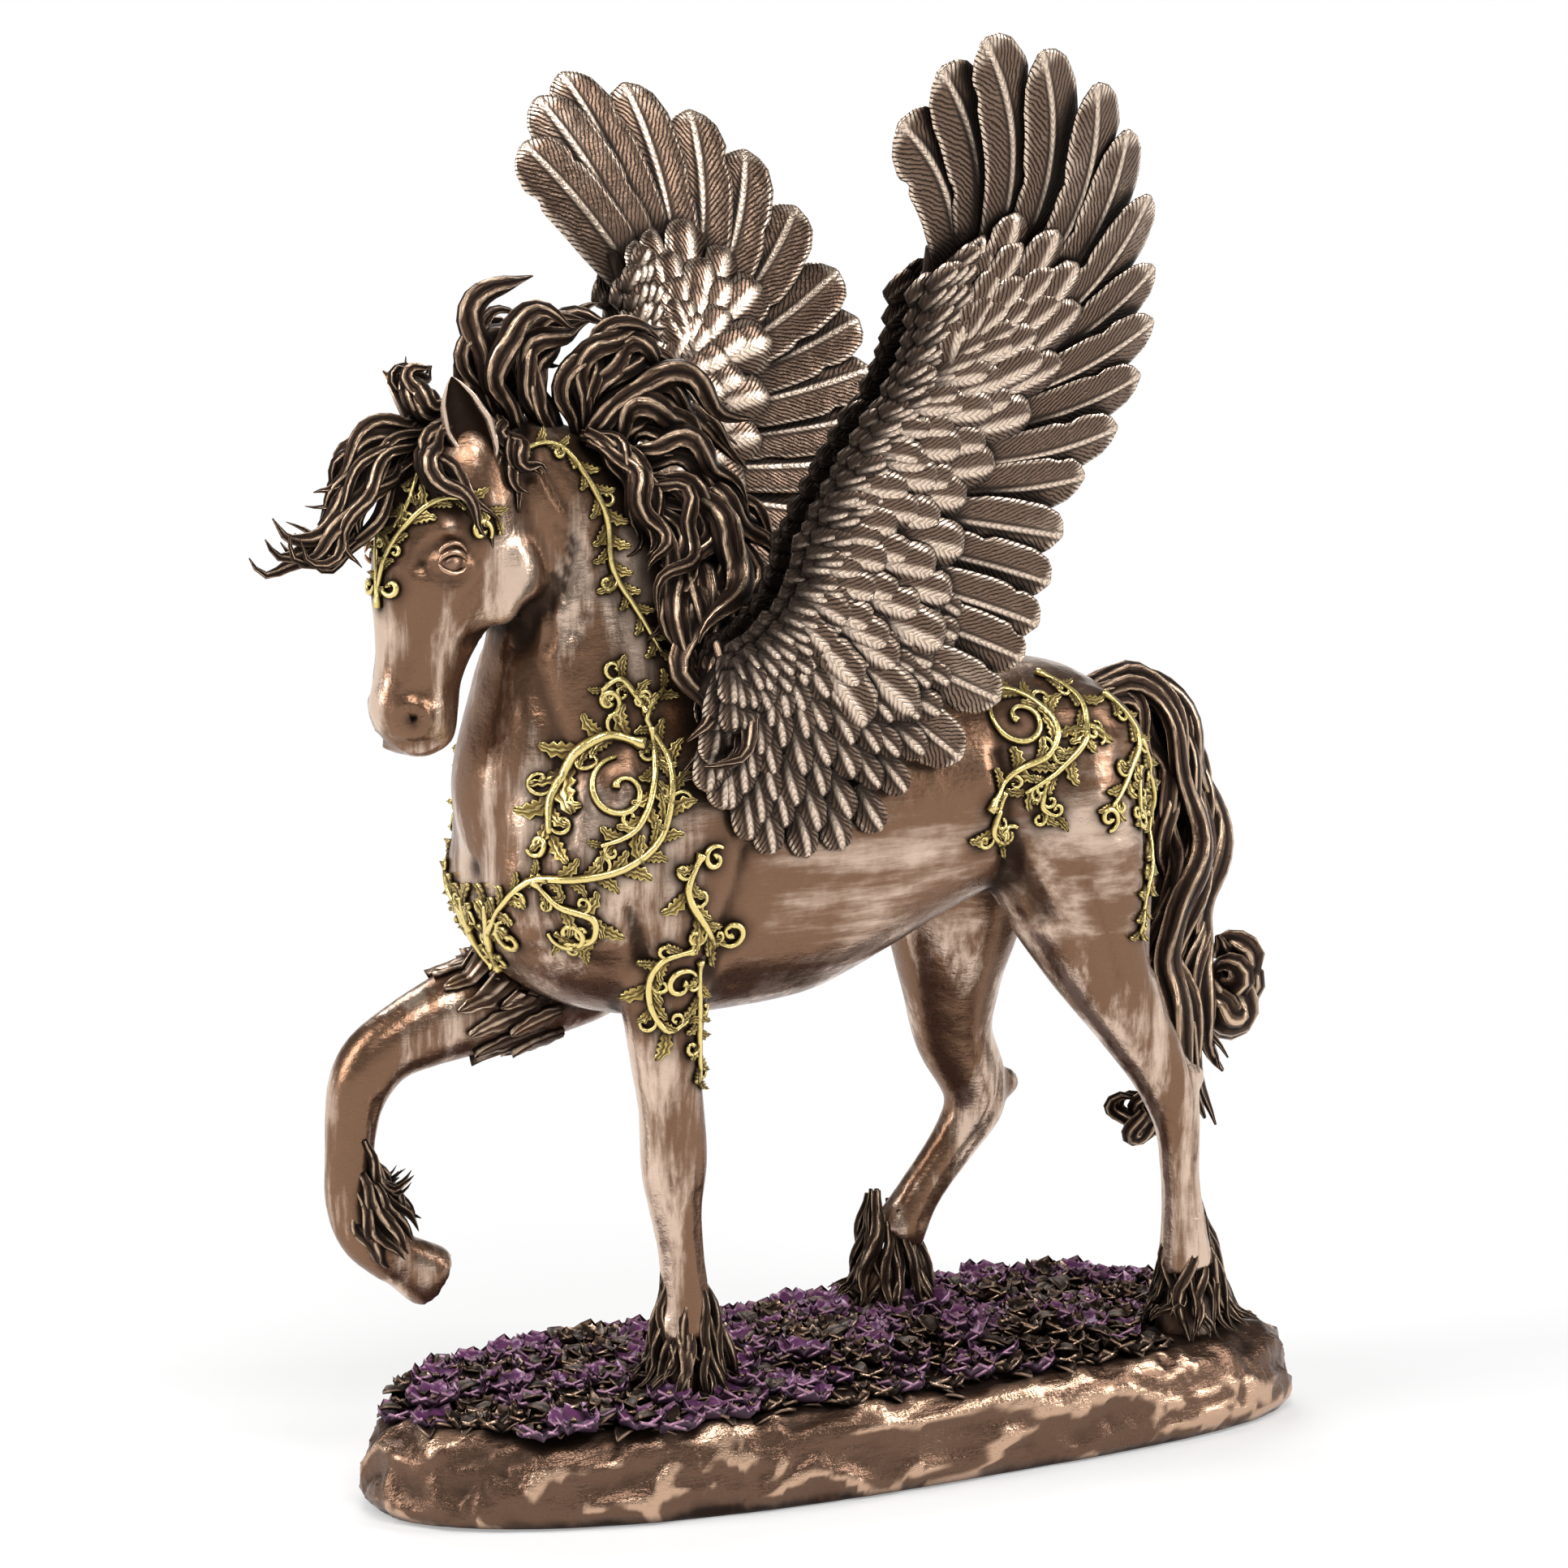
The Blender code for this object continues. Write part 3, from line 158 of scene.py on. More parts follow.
# Hair locks: width share, then points x, y, z from root to tip
MANE = (
    (1.0, (-62, -3, 208), (-68, -4, 217), (-68, -3, 224), (-62, -2, 228), (-55, -1, 226)),
    (0.8, (-58, 3, 208), (-60, 4, 216), (-57, 4, 223), (-52, 3, 222)),
    (1.0, (-51, -3, 207), (-56, -5, 215), (-55, -4, 222), (-48, -3, 226), (-39, -1, 227)),
    (1.0, (-46, -4, 206), (-49, -6, 215), (-46, -5, 222), (-39, -4, 225), (-32, -2, 222)),
    (0.9, (-44, -3, 205), (-41, -4, 216), (-36, -4, 221), (-29, -3, 219), (-24, -2, 213)),
    (0.9, (-41, -6, 202), (-39, -9, 209), (-33, -10, 211), (-26, -8, 207), (-21, -6, 203)),
    (0.9, (-40, -7, 200), (-34, -12, 204), (-27, -13, 202), (-20, -12, 195), (-16, -11, 191)),
    (0.8, (-48, -9, 206), (-43, -13, 203), (-40, -16, 195), (-38, -18, 188), (-41, -19, 183)),
    (0.9, (-40, -12, 197), (-32, -18, 195), (-30, -20, 187), (-36, -21, 179), (-40, -22, 173)),
    (1.0, (-36, -11, 194), (-26, -17, 190), (-22, -19, 181), (-28, -21, 173), (-33, -23, 166)),
    (1.0, (-35, -13, 188), (-30, -20, 178), (-30, -24, 167), (-33, -27, 160), (-29, -30, 152),
     (-33, -32, 146)),
    (0.9, (-33, -9, 195), (-23, -13, 194), (-15, -14, 187), (-9, -15, 180)),
    (0.9, (-34, -12, 184), (-26, -18, 176), (-20, -21, 166), (-24, -24, 158)),
    (0.9, (-30, -8, 186), (-18, -14, 180), (-12, -16, 170), (-17, -20, 161)),
    (1.0, (-50, 8, 205), (-44, 14, 200), (-42, 18, 190), (-46, 19, 180), (-44, 21, 172)),
    (1.0, (-42, 9, 200), (-34, 16, 194), (-31, 19, 184), (-35, 22, 175), (-33, 24, 165)),
    (1.0, (-34, 8, 194), (-25, 14, 188), (-21, 18, 178), (-25, 21, 168), (-22, 24, 158)),
    (0.9, (-28, 6, 188), (-18, 11, 183), (-12, 14, 174), (-16, 18, 165)),
    (1.0, (-34, -14, 182), (-27, -21, 174), (-31, -25, 165), (-26, -28, 156), (-30, -31, 147), (-36, -31, 144)),
    (0.9, (-38, -14, 192), (-32, -20, 184), (-35, -23, 174), (-30, -26, 165), (-25, -29, 157)),
    (1.0, (-45, -7, 205), (-37, -8, 213), (-28, -8, 213), (-20, -7, 206), (-13, -7, 202)),
)
FORELOCK = (
    (0.8, (-80, -2, 209), (-90, -4, 202), (-97, -5, 193), (-102, -6, 187), (-107, -5, 186), (-109, -4, 190)),
    (0.65, (-76, -2, 209), (-86, -4, 209), (-94, -5, 204), (-98, -5, 197), (-101, -4, 195)),
    (0.65, (-78, -3, 208), (-88, -6, 205), (-95, -7, 197), (-97, -6, 190), (-94, -4, 186)),
    (0.65, (-80, -4, 206), (-90, -7, 197), (-96, -6, 188), (-101, -5, 185), (-105, -4, 188)),
    (0.7, (-74, -6, 211), (-82, -10, 205), (-79, -13, 199), (-74, -14, 194), (-72, -14, 190)),
    (0.7, (-72, -3, 211), (-79, -3, 213), (-81, -1, 217), (-77, 0, 219)),
    (0.7, (-66, -6, 209), (-67, -10, 205), (-65, -12, 200), (-62, -13, 196)),
    (0.8, (-78, 4, 209), (-88, 5, 204), (-91, 6, 197), (-90, 6, 191)),
)
TAIL = (
    (1.0, (70, -1, 147), (78, -2, 147), (83, -3, 137), (86, -3, 124), (87, -3, 110), (86, -2, 98),
     (84, -1, 88)),
    (1.0, (72, 0, 148), (81, -2, 150), (89, -4, 142), (93, -5, 130), (94, -6, 115), (91, -6, 102),
     (88, -5, 92), (91, -6, 80), (95, -6, 69), (97, -6, 60)),
    (1.0, (71, 0, 149), (83, 0, 151), (93, 0, 142), (98, 0, 128), (99, 0, 113), (97, 0, 100),
     (94, 0, 90), (98, 0, 79), (101, -1, 70)),
    (1.0, (71, 2, 148), (83, 4, 149), (91, 5, 138), (95, 6, 124), (96, 6, 110), (94, 6, 96),
     (93, 7, 84), (97, 8, 72)),
    (1.1, (96, 2, 92), (101, 3, 82), (107, 4, 78), (112, 4, 81), (112, 4, 86), (107, 4, 87)),
    (0.6, (98, 6, 74), (97, 8, 64), (93, 8, 54), (88, 8, 53), (87, 8, 58), (90, 8, 60)),
)
# Wing fan: x, z where a feather leaves the arm, x, z of its tip, and its bend at the middle
WING_FAN = np.array((
    (7, 227, -12, 265, -6), (8, 226, -7, 273, -7), (9, 226, -2, 280, -9), (9, 225, 9, 279, -10),
    (10, 224, 24, 275, -11), (9, 222, 34, 267, -11), (8, 220, 43, 258, -10), (6, 217, 50, 242, -7),
    (5, 213, 53, 231, -5), (2, 210, 54, 221, -5), (-1, 205, 52, 209, -4), (-4, 200, 46, 201, -4),
    (-6, 195, 41, 188, 0), (-8, 189, 40, 178, 1), (-10, 183, 38, 169, 1), (-11, 178, 36, 162, 1),
    (-12, 173, 31, 154, 0), (-14, 169, 23, 142, 0), (-18, 167, 8, 131, 0), (-23, 165, -8, 125, 0),
    (-29, 162, -22, 128, 0), (-33, 158, -34, 138, 0),
), float)
# Arm of the wing, from the wrist down to the shoulder: x, z
WING_ARM = (
    (1, 242), (2, 233), (2, 224), (-1, 215), (-5, 207), (-9, 199), (-12, 191), (-14, 183), (-16, 175),
    (-21, 168), (-28, 163), (-33, 157),
)
# How far the longest coverts reach: shares of the fan, then shares of the fan line
COVERT_REACH = ((0, 0.1, 0.3, 0.4, 0.55, 0.8, 1.0), (0.30, 0.38, 0.60, 0.50, 0.47, 0.62, 0.9))
# Rows of coverts: share of that reach, feathers, share of the full size, and lift off the sheet
COVERT_ROWS = (
    (1.0, 16, 1.0, 1.5), (0.76, 16, 0.9, 2.5), (0.54, 17, 0.78, 3.2), (0.34, 19, 0.62, 3.8),
    (0.17, 22, 0.5, 4.1),
)
# Scroll stems, mirrored to the far side: width share, then points x, y, z
BODY_STEMS = (
    (1.1, (-65, -3, 112), (-66, -10, 118), (-65, -17, 124), (-57, -24, 125), (-49, -27, 127),
     (-42, -26, 132), (-39, -25, 140), (-39, -24, 147), (-42, -21, 154), (-38, -20, 159)),
    (1.0, (-41, -21, 152), (-42, -24, 143), (-47, -26, 134), (-54, -25, 131)),
    (1.5, (-43, -22, 149), (-50, -21, 151), (-57, -19, 147), (-61, -18, 140), (-61, -19, 133)),
    (0.9, (-42, -21, 155), (-46, -19, 161), (-50, -18, 159)),
    (1.0, (-64, -17, 124), (-60, -20, 120), (-55, -24, 117), (-55, -23, 112), (-59, -19, 111)),
    (1.2, (-63, -1, 105), (-66, -4, 112), (-67, -5, 118)),
    (1.1, (-34, -27, 128), (-37, -28, 121), (-33, -27, 114), (-29, -25, 109)),
    (1.0, (30, -27, 131), (36, -27, 138), (44, -27, 141), (47, -25, 147), (42, -19, 153), (34, -17, 156)),
    (1.0, (50, -13, 155), (55, -20, 150), (53, -26, 144), (46, -28, 138), (38, -28, 134)),
    (0.9, (34, -27, 134), (31, -27, 127), (34, -27, 124)),
    (0.8, (43, -28, 136), (42, -28, 131), (45, -28, 129)),
    (1.0, (61, -20, 151), (67, -25, 143), (62, -28, 136), (56, -30, 130)),
    (0.9, (67, -24, 142), (71, -22, 131), (70, -24, 120), (67, -27, 112), (64, -29, 104)),
    (0.8, (66, -26, 137), (65, -28, 129), (68, -27, 128)),
    (0.9, (-63, -9, 204), (-54, -9, 205), (-49, -11, 198), (-46, -14, 190), (-46, -16, 182),
     (-42, -18, 174), (-38, -20, 166)),
)
NEAR_LEG_STEMS = (
    (1.0, (-35, -26, 110), (-41, -25, 108), (-43, -23, 101), (-39, -23, 94), (-35, -22, 96)),
    (0.9, (-34, -24, 108), (-33, -22, 99), (-32, -21, 91), (-31, -20, 83)),
)
# Scroll stems of the head, mirrored about its middle before it is turned
HEAD_STEMS = (
    (0.8, (-91, 0, 176), (-91, -1, 184), (-88, -4, 191), (-84, -8, 196), (-78, -11, 196), (-72, -12, 192)),
    (0.7, (-85, -3, 203), (-88, -4, 197), (-89, -2, 191)),
)
# Curls: middle x, y, z, radius, turns, starting angle
BODY_CURLS = (
    (-49, -24, 141, 6.8, 1.2, 20), (-49, -19, 157, 2.6, 1.2, 200), (-64, -10, 113, 3.8, 1.0, 90),
    (-58, -20, 114, 4.4, 1.0, 0), (-64, -18, 131, 2.4, 1.1, 300), (-31, -26, 127, 2.6, 1.2, 60),
    (-26, -25, 112, 3.0, 1.2, 250), (40, -22, 147, 6.6, 1.2, 330), (54, -26, 143, 3.0, 1.2, 180),
    (36, -27, 125, 2.2, 1.1, 90), (55, -30, 128, 2.6, 1.2, 200), (66, -28, 127, 2.4, 1.1, 0),
)
NEAR_LEG_CURLS = ((-37, -25, 103, 3.4, 1.1, 120),)
HEAD_CURLS = ((-90, -3, 180, 1.9, 1.0, 0), (-76, -12, 190, 2.4, 1.1, 180))


class Side(Enum):
    """Side of the horse, by the sign of y."""

    NEAR = -1
    FAR = 1


class Slot(Enum):
    """Material slots of the record."""

    BRONZE = "antique_bronze"
    GOLD = "gold_paint"
    VIOLET = "violet_paint"


# Rings of the plinth: share of its height, share of its outline, share of the roughness
PLINTH_RINGS = (
    (0, 0.5, 0), (0, 0.955, 0.2), (0.04, 0.985, 0.6), (0.12, 1, 1), (0.2, 1.002, 1.2), (0.28, 1, 1.3),
    (0.36, 0.998, 1.3), (0.44, 0.995, 1.3), (0.52, 0.99, 1.3), (0.6, 0.985, 1.3), (0.68, 0.98, 1.3),
    (0.75, 0.975, 1.2), (0.81, 0.97, 1.2), (0.87, 0.955, 1.1), (0.92, 0.935, 1), (0.96, 0.91, 0.8),
    (0.98, 0.88, 0.5), (1, 0.84, 0), (1, 0.78, 0), (1, 0.7, 0), (1, 0.6, 0), (1, 0.5, 0), (1, 0.4, 0),
    (1, 0.28, 0), (1, 0.16, 0), (1, 0.05, 0),
)
# Cuff of the raised leg: its middle, and the direction down the leg
CUFF_MIDDLE = np.array((-55.0, 16.5, 96.5))
CUFF_AXIS = np.array((-0.93, 0.1, -0.38)) / math.sqrt(0.93 ** 2 + 0.1 ** 2 + 0.38 ** 2)


@dataclass
class Surface:
    """Closed shells held as whole arrays.

    Attributes:
        points: Corner places in millimetres, one row each.
        quads: Four-sided faces as rows of corner numbers.
        tris: Three-sided faces that close the ends.
        grain: For each corner, its place across, along and a number of its own, for patterns.
        wash: Dark wash held at each corner, 0 to 1, and painted shade on undersides, roots and beside raised parts.
        wear: Burnishing held at each corner, 0 to 1, and painted highlights, with painted shade where it is lowered.
    """

    points: Array
    quads: Array
    tris: Array
    grain: Array
    wash: Array
    wear: Array


def unit(vectors: Array) -> Array:
    """Scale each vector along the last axis to length one."""
    return vectors / np.maximum(np.linalg.norm(vectors, axis=-1, keepdims=True), 1e-12)


def ease(low: float, high: float, value: Array) -> Array:
    """Smooth step: 0 below low, 1 above high, and 3t^2 - 2t^3 between them."""
    t = np.clip((value - low) / (high - low), 0, 1)
    return t * t * (3 - 2 * t)


def bell(value: Array, width: float, middle: Array | float = 0.0) -> Array:
    """Bell curve exp(-((value - middle) / width)^2)."""
    return np.exp(-((value - middle) / width) ** 2)


def curve_through(points: Array, count: int) -> Array:
    """Curve through points, spaced evenly along its length.

    The curve is a Catmull-Rom spline: on each stretch a cubic whose end slopes are half the
    difference of the neighbours. It is then read again at equal arc lengths.

    Args:
        points: Control points, one row each.
        count: Points wanted on the curve.

    Returns:
        The curve, one row for each point.
    """
    control = np.asarray(points, float)
    padded = np.vstack([control[:1], control, control[-1:]])
    t = np.linspace(0, len(control) - 1, count * 6)
    cell = np.minimum(t.astype(int), len(control) - 2)
    f = (t - cell)[:, None]
    a, b, c, d = padded[cell], padded[cell + 1], padded[cell + 2], padded[cell + 3]
    dense = 0.5 * (2 * b + (c - a) * f + (2 * a - 5 * b + 4 * c - d) * f ** 2 + (3 * b - 3 * c + d - a) * f ** 3)
    steps = np.linalg.norm(np.diff(dense, axis=0), axis=1)
    length = np.concatenate([[0], np.cumsum(steps)])
    wanted = np.linspace(0, length[-1], count)
    return np.stack([np.interp(wanted, length, dense[:, axis]) for axis in range(dense.shape[1])], axis=1)


def lattice_noise(points: Array, seed: int = 0) -> Array:
    """Smooth noise from -1 to 1: random values at whole coordinates, blended by eased weights.

    Args:
        points: Places along the last axis, in noise cells.
        seed: Number that picks another pattern.

    Returns:
        One value for each place.
    """
    cell = np.floor(points).astype(np.int64)
    part = points - cell
    part = part * part * (3 - 2 * part)
    total = np.zeros(points.shape[:-1])
    for corner in range(8):
        step = np.array([corner & 1, corner >> 1 & 1, corner >> 2 & 1])
        key = cell + step
        mixed = key[..., 0] * 73856093 ^ key[..., 1] * 19349663 ^ key[..., 2] * 83492791 ^ (seed + 1) * 2654435
        mixed = mixed & 0x7FFFFFFF
        mixed = (mixed ^ (mixed >> 13)) * 1274126177 & 0x7FFFFFFF
        value = ((mixed ^ (mixed >> 16)) & 0xFFFF) / 32767.5 - 1
        weight = np.where(step, part, 1 - part).prod(axis=-1)
        total += value * weight
    return total


def fractal_noise(points: Array, octaves: int, seed: int = 0) -> Array:
    """Sum of lattice noise at doubled scales and halved heights."""
    total = np.zeros(points.shape[:-1])
    for octave in range(octaves):
        total += lattice_noise(points * 2 ** octave, seed + octave) / 2 ** octave
    return total


def loft(rings: Array, grain: Array, wash: Array, wear: Array) -> Surface:
    """Skin rows of rings into closed shells that face outwards.

    Args:
        rings: Places by shell, station, corner of the ring, and axis.
        grain: Pattern places of the same shape.
        wash: Dark wash and painted shade by shell, station and corner.
        wear: Burnishing and painted highlights of the same shape.

    Returns:
        The shells, with a fan of triangles over both ends of each.
    """
    shells, stations, corners, _ = rings.shape
    index = np.arange(shells * stations * corners).reshape(shells, stations, corners)
    after = np.roll(index, -1, axis=2)
    quads = np.stack([index[:, :-1], after[:, :-1], after[:, 1:], index[:, 1:]], axis=-1)
    first = shells * stations * corners + np.arange(shells)
    last = first + shells
    start = np.stack([np.repeat(first[:, None], corners, 1), after[:, 0], index[:, 0]], axis=-1)
    end = np.stack([np.repeat(last[:, None], corners, 1), index[:, -1], after[:, -1]], axis=-1)
    points = np.vstack([rings.reshape(-1, 3), rings[:, 0].mean(1), rings[:, -1].mean(1)])
    a, b, c, d = (rings[:, :-1], np.roll(rings, -1, 2)[:, :-1], np.roll(rings, -1, 2)[:, 1:], rings[:, 1:])
    centre = rings.mean(axis=(1, 2))[:, None, None]
    inward = ((np.cross(b - a, c - a) + np.cross(c - a, d - a)) * (a - centre)).sum((1, 2, 3)) < 0
    quads[inward] = quads[inward][..., ::-1]
    start[inward] = start[inward][..., ::-1]
    end[inward] = end[inward][..., ::-1]
    ends = [np.concatenate([values[:, 0].mean(1), values[:, -1].mean(1)]) for values in (grain, wash, wear)]
    return Surface(
        points=points, quads=quads.reshape(-1, 4), tris=np.vstack([start.reshape(-1, 3), end.reshape(-1, 3)]),
        grain=np.vstack([grain.reshape(-1, 3), ends[0]]), wash=np.concatenate([wash.ravel(), ends[1]]),
        wear=np.concatenate([wear.ravel(), ends[2]]),
    )


def joined(parts: list[Surface]) -> Surface:
    """Put several surfaces into one, with their corner numbers shifted."""
    shifts = np.cumsum([0] + [len(part.points) for part in parts[:-1]])
    return Surface(
        points=np.vstack([part.points for part in parts]),
        quads=np.vstack([part.quads + shift for part, shift in zip(parts, shifts)]),
        tris=np.vstack([part.tris + shift for part, shift in zip(parts, shifts)]),
        grain=np.vstack([part.grain for part in parts]),
        wash=np.concatenate([part.wash for part in parts]),
        wear=np.concatenate([part.wear for part in parts]),
    )


def make_mesh(name: str, surface: Surface) -> Object:
    """Write a surface into a new object at the origin, in metres.

    Args:
        name: Name of the object and its mesh.
        surface: The closed shells.

    Returns:
        The object, smooth shaded, with the attributes grain, wash and wear.
    """
    mesh = bpy.data.meshes.new(name)
    mesh.vertices.add(len(surface.points))
    mesh.vertices.foreach_set("co", (surface.points * MM).astype(np.float32).ravel())
    corners = np.concatenate([surface.quads.ravel(), surface.tris.ravel()]).astype(np.int32)
    sizes = np.concatenate([np.full(len(surface.quads), 4), np.full(len(surface.tris), 3)]).astype(np.int32)
    mesh.loops.add(len(corners))
    mesh.loops.foreach_set("vertex_index", corners)
    mesh.polygons.add(len(sizes))
    mesh.polygons.foreach_set("loop_start", np.concatenate([[0], np.cumsum(sizes)[:-1]]).astype(np.int32))
    mesh.update(calc_edges=True)
    mesh.polygons.foreach_set("use_smooth", np.ones(len(sizes), bool))
    store_values(mesh, surface.grain, surface.wash, surface.wear)
    item = bpy.data.objects.new(name, mesh)
    bpy.context.scene.collection.objects.link(item)
    return item


def store_values(mesh: Mesh, grain: Array, wash: Array, wear: Array) -> None:
    """Keep the pattern places, the wash with its painted shade and the wear with its painted highlights with the mesh's
    corners.
    """
    rows = (("grain", "FLOAT_VECTOR", "vector", grain), ("wash", "FLOAT", "value", np.clip(wash, 0, 1)),
            ("wear", "FLOAT", "value", np.clip(wear, 0, 1)))
    for name, kind, field, values in rows:
        mesh.attributes.new(name, kind, "POINT").data.foreach_set(field, values.astype(np.float32).ravel())



def turn_head(points: Array, angle: float = HEAD_TURN) -> Array:
    """Turn points of the head about the poll, towards the near side."""
    c, s = math.cos(angle), math.sin(angle)
    turn = np.array(((c, -s, 0), (s, c, 0), (0, 0, 1)))
    return (points - POLL) @ turn.T + POLL


def path_frames(paths: Array, up: Array) -> tuple[Array, Array, Array]:
    """Directions along, across and out of paths.

    Args:
        paths: Places by path, station and axis.
        up: Outward direction wished for, at each place or for all.

    Returns:
        Unit tangents, unit directions across, and unit directions outwards.
    """
    along = unit(np.gradient(paths, axis=1))
    across = unit(np.cross(along, np.broadcast_to(up, paths.shape)))
    return along, across, np.cross(across, along)


def ring_angles(corners: int) -> Array:
    """Even angles round a ring."""
    return np.linspace(0, math.tau, corners, endpoint=False)


def tubes(paths: Array, halves: Array, up: Array, corners: int, flat: float = 1.0) -> tuple[Array, Array]:
    """Rings of oval tubes: centre + across * cos(a) * half + out * sin(a) * half * flat.

    Args:
        paths: Centre lines by tube, station and axis.
        halves: Half widths by tube and station.
        up: Outward direction for the frames.
        corners: Corners of each ring.
        flat: Height of the oval as a share of its width.

    Returns:
        The rings, and the angle of each corner spread to the same shape.
    """
    _, across, out = path_frames(paths, up)
    angle = ring_angles(corners)
    c, s = np.cos(angle), np.sin(angle)
    half = halves[..., None, None]
    rings = paths[:, :, None] + across[:, :, None] * half * c[:, None] + out[:, :, None] * half * s[:, None] * flat
    return rings, np.broadcast_to(angle, rings.shape[:3])


def pointed(count: int, start: float, widest: float) -> Array:
    """Half-width shares of a lock: from start, up to one at the widest place, then to a fine tip."""
    t = np.linspace(0, 1, count)
    rise = start + (1 - start) * ease(0, widest, t)
    return rise * np.sqrt(np.clip(1 - ease(widest, 1.02, t) ** 1.2, 0.0016, 1))


def oval_rings(centres: Array, across: Array, along: Array, corners: int, power: float = 1.0) -> Array:
    """Rings of ovals: centre + across * cos(a)^power + along * sin(a)^power, with the signs kept."""
    angle = ring_angles(corners)
    c = np.sign(np.cos(angle)) * np.abs(np.cos(angle)) ** power
    s = np.sign(np.sin(angle)) * np.abs(np.sin(angle)) ** power
    return (centres[:, None] + across[:, None] * c[:, None] + along[:, None] * s[:, None])[None]


def plain_shell(rings: Array, wash: float = 0.0, wear: float = 0.0) -> Surface:
    """Loft rings with no pattern, and with the same wash and wear all over."""
    shape = rings.shape[:3]
    return loft(rings, np.zeros(rings.shape), np.full(shape, wash), np.full(shape, wear))


def wrapped(top: Array, low: Array | None = None) -> Array:
    """Values round closed sections: over the top, then back underneath, where low may differ."""
    return np.concatenate([top, (top if low is None else low)[:, :, ::-1]], axis=2)


def distance_to(points: Array, path: Array) -> Array:
    """Distance of each point from the nearest of a row of path points."""
    best = np.full(len(points), np.inf)
    for spot in path:
        best = np.minimum(best, ((points - spot) ** 2).sum(axis=1))
    return np.sqrt(best)


@dataclass
class Skin:
    """The horse's smooth skin as arrays, for what is laid on it.

    Attributes:
        points: Corner places in millimetres.
        normals: Outward unit normals at the corners.
        wash: Dark wash and painted shade at the corners.
        mesh: Mesh of the skin.
    """

    points: Array
    normals: Array
    wash: Array
    mesh: Mesh

    def shade_round(self, paths: list[Array], width: float, strength: float) -> None:
        """Darken the skin round paths as painted shade: strength * exp(-(distance / width)^2)."""
        for path in paths:
            low, high = path.min(axis=0) - 2.5 * width, path.max(axis=0) + 2.5 * width
            close = ((self.points > low) & (self.points < high)).all(axis=1)
            shape = strength * bell(distance_to(self.points[close], path[::2]), width)
            self.wash[close] = np.maximum(self.wash[close], shape)
        self.mesh.attributes["wash"].data.foreach_set("value", np.clip(self.wash, 0, 1).astype(np.float32))

    def snap(self, places: Array, height: Array | float) -> tuple[Array, Array]:
        """Lay places on the skin.

        Each place is dropped on the tangent plane of its nearest skin corner, then raised by
        the height along the normal there.

        Args:
            places: Rows of places that lie close together.
            height: How far above the skin they end up.

        Returns:
            The new places and the normals at them.
        """
        middle = places.mean(axis=0)
        reach = np.linalg.norm(places - middle, axis=1).max() + 9
        near = ((self.points - middle) ** 2).sum(axis=1) < reach * reach
        spots, normals = self.points[near], self.normals[near]
        if len(spots) == 0:
            return places, np.broadcast_to(np.array((0.0, 0.0, 1.0)), places.shape)
        gaps = ((places[:, None] - spots[None]) ** 2).sum(axis=2)
        first = gaps.argmin(axis=1)
        normal = normals[first]
        drop = ((places - spots[first]) * normal).sum(axis=1, keepdims=True)
        return places - normal * (drop - np.asarray(height).reshape(-1, 1)), normal


    def laid_leaf(self, flat: Array, rise: Array, wash: Array, wear: Array) -> Surface:
        """Closed leaf on the skin, with an underside that is sunk in it and dark as painted shade.

        Args:
            flat: Places of the leaf by station and column, close to the skin.
            rise: Height of its top over the skin.
            wash: Dark wash on its top.
            wear: Burnishing on its top.

        Returns:
            The leaf.
        """
        spots, face = self.snap(flat.reshape(-1, 3), 0.0)
        spots, face = spots.reshape(flat.shape), face.reshape(flat.shape)
        rings = wrapped((spots + face * rise[..., None])[None], (spots - face * LEAF_SINK)[None])
        # The underside is fully dark: painted shade where the leaf meets the skin.
        return loft(rings, rings, wrapped(wash[None], np.ones_like(wash)[None]),
                    wrapped(wear[None], np.zeros_like(wear)[None]))


